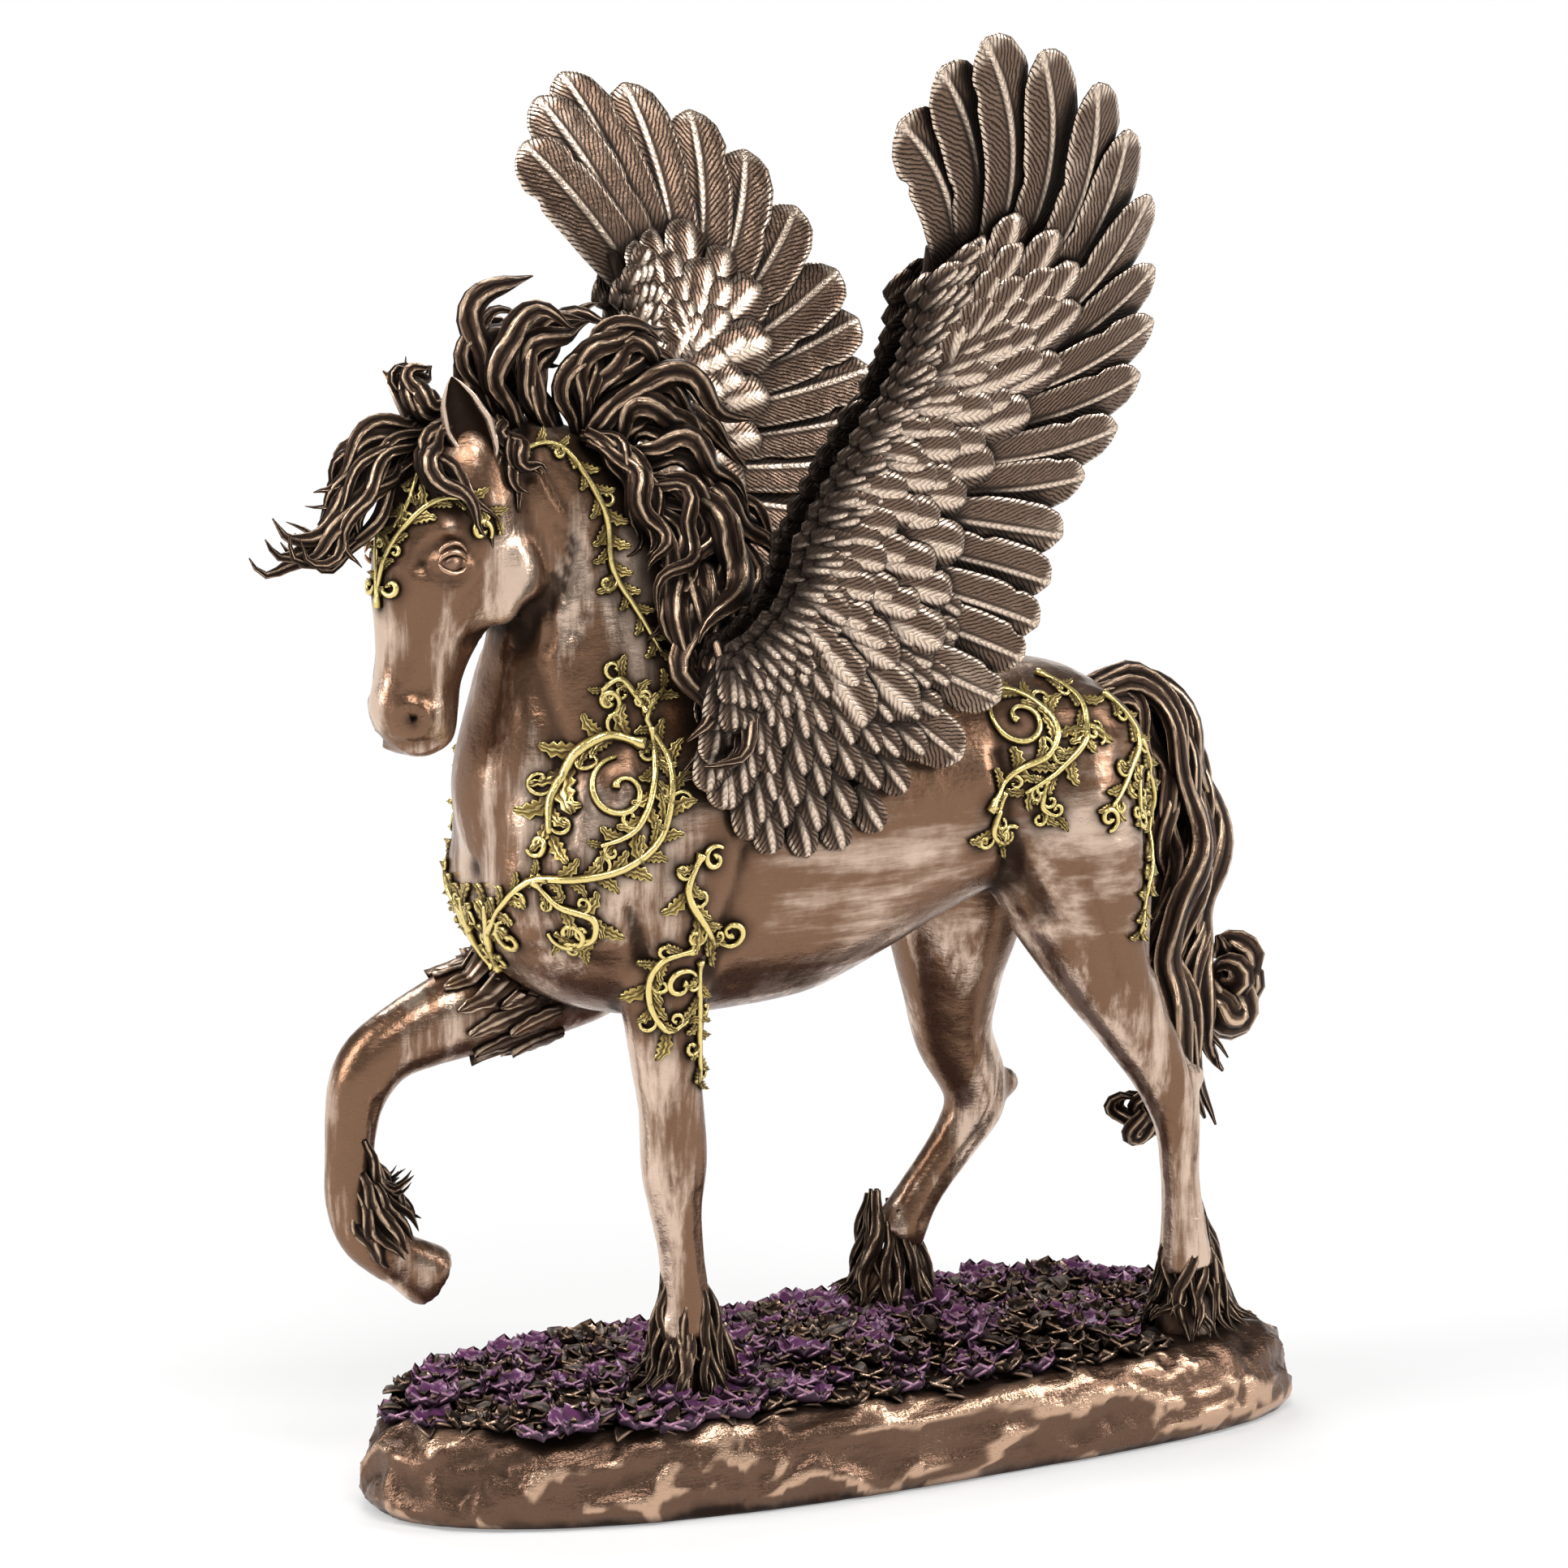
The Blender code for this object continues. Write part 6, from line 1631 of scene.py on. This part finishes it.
@dataclass
class NodeBench:
    """Short ways to place and join shader nodes in one tree.

    Attributes:
        tree: Node tree that is worked on.
    """

    tree: NodeTree

    def add(self, kind: str, values: dict | None = None, **settings: object) -> Node:
        """Place a node.

        Args:
            kind: Node type.
            values: Sockets to feed, by name or number, each a number, a colour or an output.
            **settings: Properties of the node.

        Returns:
            The node.
        """
        node = self.tree.nodes.new(kind)
        for key, value in settings.items():
            setattr(node, key, value)
        for key, value in (values or {}).items():
            self.feed(node.inputs[key], value)
        return node

    def feed(self, socket: NodeSocket, value: object) -> None:
        """Link an output into a socket, or set its plain value."""
        if isinstance(value, NodeSocket):
            self.tree.links.new(value, socket)
        elif isinstance(value, tuple) and len(value) == 3 and socket.type == "RGBA":
            socket.default_value = (*value, 1.0)
        else:
            socket.default_value = value

    def math(self, operation: str, first: object, second: object = 0.0, clamp: bool = False) -> NodeSocket:
        """Result of one arithmetic step."""
        node = self.add("ShaderNodeMath", {0: first, 1: second}, operation=operation)
        node.use_clamp = clamp
        return node.outputs[0]

    def plus(self, first: object, second: object, clamp: bool = False) -> NodeSocket:
        """Sum of two values."""
        return self.math("ADD", first, second, clamp)

    def minus(self, first: object, second: object) -> NodeSocket:
        """First value less the second."""
        return self.math("SUBTRACT", first, second)

    def times(self, first: object, second: object) -> NodeSocket:
        """Product of two values."""
        return self.math("MULTIPLY", first, second)

    def sway(self, noise: object, gain: object) -> NodeSocket:
        """Noise about a half, moved to vary about zero and scaled by a gain."""
        return self.times(self.minus(noise, 0.5), gain)

    def scaled(self, place: NodeSocket, scale: tuple) -> NodeSocket:
        """Place with each of its three parts scaled."""
        return self.add("ShaderNodeVectorMath", {0: place, 1: scale}, operation="MULTIPLY").outputs[0]

    def place(self) -> NodeSocket:
        """Place on the object, in metres."""
        return self.add("ShaderNodeTexCoord").outputs["Object"]

    def stored(self, name: str, output: str = "Fac") -> NodeSocket:
        """Attribute that the mesh holds."""
        return self.add("ShaderNodeAttribute", attribute_name=name).outputs[output]

    def blend(self, share: object, first: object, second: object) -> NodeSocket:
        """Mix of two colours by a share."""
        node = self.add("ShaderNodeMix", data_type="RGBA")
        self.feed(node.inputs["Factor"], share)
        self.feed(node.inputs[6], first)
        self.feed(node.inputs[7], second)
        return node.outputs[2]

    def span(self, value: object, low: float, high: float, to_low: float = 0.0, to_high: float = 1.0) -> NodeSocket:
        """Value spread smoothly from one range to another, and held at its ends."""
        values = {0: value, 1: low, 2: high, 3: to_low, 4: to_high}
        return self.add("ShaderNodeMapRange", values, interpolation_type="SMOOTHSTEP").outputs[0]

    def noise(self, place: object, scale: float, detail: float = 3.0, rough: float = 0.55) -> NodeSocket:
        """Soft noise from about 0.2 to 0.8 at a scale in cells a metre."""
        node = self.add("ShaderNodeTexNoise", {"Vector": place, "Scale": scale, "Detail": detail, "Roughness": rough})
        return node.outputs["Fac"]


def new_group(name: str, inputs: tuple, outputs: tuple) -> tuple[NodeTree, NodeBench, Node, Node]:
    """Start a shader node group with named sockets.

    Args:
        name: Name of the group.
        inputs: Names of the input sockets; those in COLOURS take a colour, the others a number.
        outputs: Names of the output sockets.

    Returns:
        The group, its bench, and its input and output nodes.
    """
    tree = bpy.data.node_groups.new(name, "ShaderNodeTree")
    for way, names in (("INPUT", inputs), ("OUTPUT", outputs)):
        for key in names:
            kind = "NodeSocketColor" if key in COLOURS else "NodeSocketFloat"
            tree.interface.new_socket(name=key, in_out=way, socket_type=kind)
    bench = NodeBench(tree)
    return tree, bench, bench.add("NodeGroupInput"), bench.add("NodeGroupOutput")


def patina_group() -> NodeTree:
    """Group for an aged metal: dark wash and painted shade in the recesses, mid tone, and burnished high places with
    painted highlights.

    The recess mask joins the stored wash, painted shade from the occlusion of close-by surfaces, and blotchy noise.
    """
    tree, bench, given, result = new_group(
        "aged_metal",
        ("Dark", "Middle", "Bright", "Reach", "Washing", "Burnish", "Blotches", "Strokes"),
        ("Color", "Roughness", "Recess", "High"))
    place = bench.place()
    wash = bench.stored("wash")
    wear = bench.stored("wear")
    # Painted shade: occlusion by close-by surfaces darkens the colour towards Dark.
    shade = bench.add("ShaderNodeAmbientOcclusion", {"Distance": given.outputs["Reach"]}, samples=8)
    closed = bench.minus(1.0, shade.outputs["AO"])
    cloud = bench.noise(place, 45.0, 4.0, 0.6)
    fine = bench.noise(place, 420.0, 3.0, 0.6)
    uneven = bench.sway(cloud, given.outputs["Blotches"])
    recess = bench.plus(bench.times(closed, given.outputs["Washing"]), bench.times(wash, 0.85))
    recess = bench.plus(recess, uneven)
    recess = bench.span(bench.plus(recess, bench.sway(fine, 0.25)), 0.12, 0.95)
    high = bench.plus(wear, bench.sway(cloud, 0.9))
    high = bench.times(bench.plus(high, given.outputs["Strokes"]), given.outputs["Burnish"])
    high = bench.span(bench.plus(high, bench.sway(fine, 0.2)), 0.25, 0.75)
    metal = bench.blend(high, given.outputs["Middle"], given.outputs["Bright"])
    bench.feed(result.inputs["Color"], bench.blend(recess, metal, given.outputs["Dark"]))
    rough = bench.plus(bench.span(recess, 0.0, 1.0, 0.27, 0.60), bench.sway(fine, 0.16))
    bench.feed(result.inputs["Roughness"], bench.minus(rough, bench.times(high, 0.06)))
    bench.feed(result.inputs["Recess"], recess)
    bench.feed(result.inputs["High"], high)
    return tree


def hammer_group() -> NodeTree:
    """Group for the cast skin: soft dents, fine pores and long polishing marks, as a height."""
    tree, bench, given, result = new_group("cast_skin", ("Dents", "Pores", "Marks"), ("Height",))
    place = bench.place()
    dents = bench.noise(place, 160.0, 2.0, 0.5)
    pores = bench.noise(place, 1300.0, 2.0, 0.6)
    stretch = {"Vector": place, "Scale": (0.25, 1.0, 1.4), "Rotation": (0.3, 0.5, 0.2)}
    drawn = bench.add("ShaderNodeMapping", stretch).outputs[0]
    marks = bench.noise(drawn, 900.0, 3.0, 0.7)
    total = bench.times(dents, given.outputs["Dents"])
    total = bench.plus(total, bench.times(pores, given.outputs["Pores"]))
    bench.feed(result.inputs["Height"], bench.plus(total, bench.times(marks, given.outputs["Marks"])))
    return tree


@dataclass(frozen=True)
class MetalFinish:
    """Aged metal finish.

    Attributes:
        name: Name of the material.
        dark: Colour in the recesses.
        middle: Colour of the plain surface.
        bright: Colour of the burnished places.
        reach: Distance in millimetres within which close-by surfaces darken the colour as painted shade.
        washing: Strength of that painted shade.
        burnish: How far the high places, burnished ones and painted highlights alike, are made bright.
        blotches: Unevenness of the dark wash and painted shade.
        metallic: Metallic value of the shader.
        dents: Height of soft dents.
        pores: Height of pores.
        marks: Height of polishing marks.
    """

    name: str
    dark: tuple
    middle: tuple
    bright: tuple
    reach: float = 3.0
    washing: float = 1.0
    burnish: float = 0.8
    blotches: float = 0.5
    metallic: float = 0.85
    dents: float = 0.3
    pores: float = 0.05
    marks: float = 0.08

    def strokes(self, bench: NodeBench) -> object:
        """Brush strokes of the polish, about zero: here none."""
        return 0.0

    def height(self, bench: NodeBench, skin: NodeSocket) -> NodeSocket:
        """Height of the surface pattern in millimetres: here only the cast skin."""
        return skin

    def tint(self, bench: NodeBench, colour: NodeSocket) -> NodeSocket:
        """Change of colour by the surface pattern: here none."""
        return colour

    def material(self, metal: NodeTree, cast: NodeTree) -> Material:
        """Build the material from the two shared groups.

        Args:
            metal: Group of the aged metal.
            cast: Group of the cast skin.

        Returns:
            The material.
        """
        made = bpy.data.materials.new(self.name)
        made.use_nodes = True
        bench = NodeBench(made.node_tree)
        shader = made.node_tree.nodes["Principled BSDF"]
        aged = bench.add("ShaderNodeGroup", {
            "Dark": self.dark, "Middle": self.middle, "Bright": self.bright, "Reach": self.reach * MM,
            "Washing": self.washing, "Burnish": self.burnish, "Blotches": self.blotches,
            "Strokes": self.strokes(bench)}, node_tree=metal)
        skin = bench.add("ShaderNodeGroup", {
            "Dents": self.dents, "Pores": self.pores, "Marks": self.marks}, node_tree=cast)
        height = self.height(bench, skin.outputs["Height"])
        bump = bench.add("ShaderNodeBump", {"Height": height, "Distance": MM, "Strength": 1.0})
        bench.feed(shader.inputs["Base Color"], self.tint(bench, aged.outputs["Color"]))
        bench.feed(shader.inputs["Roughness"], aged.outputs["Roughness"])
        bench.feed(shader.inputs["Normal"], bump.outputs["Normal"])
        shader.inputs["Metallic"].default_value = self.metallic
        return made


@dataclass(frozen=True)
class SkinFinish(MetalFinish):
    """Bronze rubbed bright by a dry brush: broad patches whose edges break into strokes.

    Attributes:
        patch: Strength of the broad patches.
        brush: Strength of the strokes.
    """

    patch: float = 2.3
    brush: float = 1.0

    def strokes(self, bench: NodeBench) -> NodeSocket:
        """Patches and strokes about zero; strokes run along the flank, and down the neck and legs."""
        place = bench.place()
        grain = bench.stored("grain", "Vector")
        flank = bench.add("ShaderNodeSeparateXYZ", {0: grain}).outputs[2]
        drawn = []
        for scale in ((1.0, 1.0, 0.10), (0.10, 1.0, 1.0)):
            stretched = bench.add("ShaderNodeMapping", {"Vector": place, "Scale": scale}).outputs[0]
            wide = bench.sway(bench.noise(stretched, 110.0, 2.0, 0.5), self.patch)
            thin = bench.sway(bench.noise(stretched, 700.0, 4.0, 0.65), self.brush)
            drawn.append(bench.plus(wide, thin))
        along = bench.times(bench.times(drawn[1], 0.65), flank)
        return bench.plus(along, bench.times(drawn[0], bench.minus(1.0, flank)))


@dataclass(frozen=True)
class PatternFinish(MetalFinish):
    """Aged metal with a pattern of fine grooves that hold dark wash.

    Attributes:
        cut: Depth of the grooves in millimetres.
        ink: Darkness of the grooves.
    """

    cut: float = 0.30
    ink: float = 0.92

    def pattern(self, bench: NodeBench) -> NodeSocket:
        """Height of the pattern, from 0 in a groove to 1 beside it."""
        raise NotImplementedError

    def height(self, bench: NodeBench, skin: NodeSocket) -> NodeSocket:
        """Cast skin and pattern together."""
        return bench.plus(skin, bench.times(self.pattern(bench), self.cut))

    def tint(self, bench: NodeBench, colour: NodeSocket) -> NodeSocket:
        """Dark wash in the grooves."""
        return bench.blend(bench.times(bench.minus(1.0, self.pattern(bench)), self.ink), colour, self.dark)


@dataclass(frozen=True)
class FeatherFinish(PatternFinish):
    """Bronze with barbs: slanted ribs that leave the quill on both sides.

    Attributes:
        spacing: Distance between barbs in millimetres.
        slant: How far a barb runs along the feather for each millimetre across.
    """

    spacing: float = 1.45
    slant: float = 1.45

    def pattern(self, bench: NodeBench) -> NodeSocket:
        """Ribs from 0 in a groove to 1 on a barb, by a sine of along - slant * |across|."""
        grain = bench.stored("grain", "Vector")
        parts = bench.add("ShaderNodeSeparateXYZ", {0: grain})
        across = bench.math("ABSOLUTE", parts.outputs[0])
        number = bench.times(parts.outputs[2], 40.0)
        sway = bench.noise(bench.scaled(grain, (0.35, 0.35, 9.0)), 1.0, 2.0)
        along = bench.minus(parts.outputs[1], bench.times(across, self.slant))
        along = bench.plus(bench.plus(along, number), bench.times(sway, 2.4))
        wave = bench.math("SINE", bench.times(along, math.tau / self.spacing))
        line = bench.minus(1.0, bench.span(wave, -1.0, -0.1))
        return bench.minus(1.0, bench.times(line, bench.span(across, 0.5, 2.2, 0.35, 1.0)))


@dataclass(frozen=True)
class HairFinish(PatternFinish):
    """Bronze with fine hair lines that run along each strand.

    Attributes:
        lines: Hair lines for each millimetre across.
    """

    cut: float = 0.16
    ink: float = 0.5
    lines: float = 2.0

    def pattern(self, bench: NodeBench) -> NodeSocket:
        """Lines from 0 in a groove to 1 on a hair: stretched noise over the strand."""
        grain = bench.stored("grain", "Vector")
        drawn = bench.scaled(grain, (self.lines, 0.06, 30.0))
        return bench.span(bench.noise(drawn, 1.0, 3.0, 0.7), 0.3, 0.62)


# Dark of the wash in hollows, which is also the colour of the painted shade of close-by surfaces
DARK_WASH_AND_SHADE = (0.030, 0.016, 0.010)
FINISHES = (
    SkinFinish("body_bronze", DARK_WASH_AND_SHADE, (0.215, 0.118, 0.070), (0.69, 0.52, 0.405), reach=7.0, washing=1.2,
               burnish=1.0),
    MetalFinish("eye_bronze", DARK_WASH_AND_SHADE, (0.20, 0.11, 0.07), (0.60, 0.38, 0.26), reach=1.5, washing=0.8),
    FeatherFinish("feather_bronze", (0.022, 0.014, 0.010), (0.185, 0.118, 0.082), (0.84, 0.66, 0.52),
                  reach=4.2, washing=2.1, burnish=1.0, blotches=0.35),
    HairFinish("hair_bronze", (0.014, 0.008, 0.006), (0.085, 0.048, 0.030), (0.72, 0.51, 0.35),
               washing=1.5, burnish=0.9, blotches=0.3),
    MetalFinish("cuff_bronze", DARK_WASH_AND_SHADE, (0.13, 0.075, 0.048), (0.74, 0.55, 0.40), washing=1.5, burnish=0.9),
    MetalFinish("rock_bronze", (0.028, 0.015, 0.010), (0.15, 0.085, 0.055), (0.58, 0.38, 0.26), washing=0.9,
                burnish=0.9, pores=0.12, marks=0.2),
    MetalFinish("leaf_bronze", (0.018, 0.011, 0.008), (0.055, 0.035, 0.026), (0.50, 0.33, 0.23),
                burnish=0.75, blotches=0.4, pores=0.1),
    MetalFinish("gold_leaf", (0.06, 0.035, 0.015), (0.48, 0.33, 0.09), (0.86, 0.69, 0.27), reach=1.8,
                washing=1.3, burnish=1.0, blotches=0.3, metallic=0.75, pores=0.06),
    MetalFinish("violet_petal", (0.035, 0.012, 0.030), (0.13, 0.036, 0.12), (0.48, 0.25, 0.36), reach=2.5,
                washing=0.9, burnish=0.75, blotches=0.4, metallic=0.25, pores=0.08),
)


# Soft boxes: name, azimuth, elevation, distance in metres, width and height in metres, watts
LAMPS = (
    ("left_box", -95, 32, 1.1, (0.45, 0.9), 10.5), ("front_box", -12, 50, 1.2, (0.7, 0.40), 7.5),
    ("right_box", 55, 28, 1.2, (0.30, 0.9), 8.0), ("back_box", 165, 40, 1.3, (0.9, 0.5), 8.0),
)


@dataclass
class Studio:
    """Pale floor, soft lights and the camera of the photograph.

    Attributes:
        azimuth: Camera direction in degrees; 0 looks along +Y.
        elevation: Camera height angle in degrees.
        distance: Camera distance in metres.
        target: Point looked at, in metres.
        lens: Focal length for a 36 mm sensor.
        floor_radius: Radius of the floor in metres.
    """

    azimuth: float = -30.0
    elevation: float = 9.0
    distance: float = 1.0
    target: tuple = (0.0, 0.0, 0.135)
    lens: float = 117.4
    floor_radius: float = 9.0

    def direction(self, azimuth: float, elevation: float) -> Vector:
        """Unit direction from the target towards a place at these angles."""
        a, e = math.radians(azimuth), math.radians(elevation)
        return Vector((math.sin(a) * math.cos(e), -math.cos(a) * math.cos(e), math.sin(e)))

    def camera(self) -> None:
        """Set the camera at the photograph's viewpoint."""
        item = bpy.data.objects.new("camera", bpy.data.cameras.new("camera"))
        bpy.context.scene.collection.objects.link(item)
        item.data.sensor_width = 36
        item.data.lens = self.lens
        item.data.clip_start = 0.01
        back = self.direction(self.azimuth, self.elevation)
        item.location = Vector(self.target) + back * self.distance
        item.rotation_euler = back.to_track_quat("Z", "Y").to_euler()
        bpy.context.scene.camera = item

    def floor(self) -> None:
        """Wide pale floor: rings of corners round the object."""
        angle = ring_angles(96)
        reach = np.array((0.02, 0.5, 1.2, 3.0, self.floor_radius)) / MM
        around = np.stack([np.cos(angle), np.sin(angle), np.zeros(96)], axis=-1)
        rings = reach[:, None, None] * around + (0, 0, -0.02)
        low = rings[::-1] - (0, 0, 5.0)
        item = make_mesh("floor", plain_shell(np.concatenate([rings, low])[None]))
        made = bpy.data.materials.new("pale_floor")
        made.use_nodes = True
        bench = NodeBench(made.node_tree)
        shader = made.node_tree.nodes["Principled BSDF"]
        shader.inputs["Roughness"].default_value = 0.8
        shader.inputs["Base Color"].default_value = (0.86, 0.86, 0.86, 1)
        place = bench.place()
        away = bench.add("ShaderNodeVectorMath", {0: place}, operation="LENGTH").outputs["Value"]
        rays = bench.add("ShaderNodeLightPath").outputs
        seen = bench.plus(rays["Is Camera Ray"], rays["Is Glossy Ray"])
        seen = bench.plus(seen, rays["Is Transmission Ray"], clamp=True)
        share = bench.times(bench.span(away, 0.10, 0.42, 0.35, 1.0), seen)
        glow = bench.add("ShaderNodeEmission", {"Color": (1.0, 1.0, 1.0), "Strength": 1.0})
        mix = bench.add("ShaderNodeMixShader", {0: share, 1: shader.outputs[0], 2: glow.outputs[0]})
        bench.feed(made.node_tree.nodes["Material Output"].inputs["Surface"], mix.outputs[0])
        item.data.materials.append(made)

    def lamp(self, name: str, azimuth: float, elevation: float, reach: float, size: tuple, watts: float) -> None:
        """Soft box that faces the object.

        Args:
            name: Name of the lamp.
            azimuth: Its direction round the object in degrees.
            elevation: Its height angle in degrees.
            reach: Its distance in metres.
            size: Width and height in metres.
            watts: Power.
        """
        data = bpy.data.lights.new(name, "AREA")
        data.shape = "RECTANGLE"
        data.size, data.size_y = size
        data.energy = watts
        item = bpy.data.objects.new(name, data)
        bpy.context.scene.collection.objects.link(item)
        back = self.direction(azimuth, elevation)
        item.location = Vector(self.target) + back * reach
        item.rotation_euler = back.to_track_quat("Z", "Y").to_euler()

    def sky(self) -> None:
        """Room light: white at the horizon, darker above, where the soft boxes stand."""
        world = bpy.data.worlds.new("room")
        bpy.context.scene.world = world
        world.use_nodes = True
        bench = NodeBench(world.node_tree)
        place = bench.add("ShaderNodeTexCoord").outputs["Generated"]
        up = bench.add("ShaderNodeSeparateXYZ", {0: place}).outputs[2]
        level = bench.span(up, 0.10, 0.30, 1.0, 0.10)
        background = world.node_tree.nodes["Background"]
        bench.feed(background.inputs["Color"], (1.0, 1.0, 1.0))
        bench.feed(background.inputs["Strength"], level)

    def build(self) -> None:
        """Set the camera, the floor and the lights."""
        self.camera()
        self.floor()
        self.sky()
        for lamp in LAMPS:
            self.lamp(*lamp)



def dress(pieces: list[Object], material: Material, slot: Slot) -> None:
    """Give pieces their material, let them ride on the body and report them."""
    for piece in pieces:
        piece.data.materials.clear()
        piece.data.materials.append(material)
        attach(piece, "root")
        LOG.info("%s: %d faces", piece.name, len(piece.data.polygons))


def main() -> None:
    """Build the figurine's looks piece by piece."""
    logging.basicConfig(level=logging.INFO, format="%(name)s %(message)s")
    view = bpy.context.scene.view_settings
    view.view_transform = "Standard"
    metal, cast = patina_group(), hammer_group()
    made = {finish.name: finish.material(metal, cast) for finish in FINISHES}
    (body, ears, eyes), skin = HorseBody().build()
    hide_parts(NODE)
    dress([body, ears], made["body_bronze"], Slot.BRONZE)
    dress([eyes], made["eye_bronze"], Slot.BRONZE)
    for side in Side:
        dress(Wing(side).build(), made["feather_bronze"], Slot.BRONZE)
    hair = [Hair("mane", MANE, 5.6, copies=5, wave=1.25).build(),
            Hair("forelock", FORELOCK, 5.0, copies=5, scatter=2.0, wave=1.0, seed=4).build(),
            Hair("tail", TAIL, 6.6, copies=5, scatter=2.6, widest=0.72, wave=1.9, waves=3.4,
                 outward=(0.6, 1.0, 0.3), seed=6, underside_shaded=False, stations=40).build(),
            FetlockHair().build()]
    dress(hair, made["hair_bronze"], Slot.BRONZE)
    dress([LegCuff(skin).build()], made["cuff_bronze"], Slot.BRONZE)
    dress([Scrollwork(skin).build()], made["gold_leaf"], Slot.GOLD)
    plinth = Plinth()
    dress([plinth.build()], made["rock_bronze"], Slot.BRONZE)
    flowers, hearts, leaves = FlowerBed(plinth).build()
    dress([flowers], made["violet_petal"], Slot.VIOLET)
    dress([hearts, leaves], made["leaf_bronze"], Slot.BRONZE)
    Studio().build()


if __name__ == "__main__":
    main()
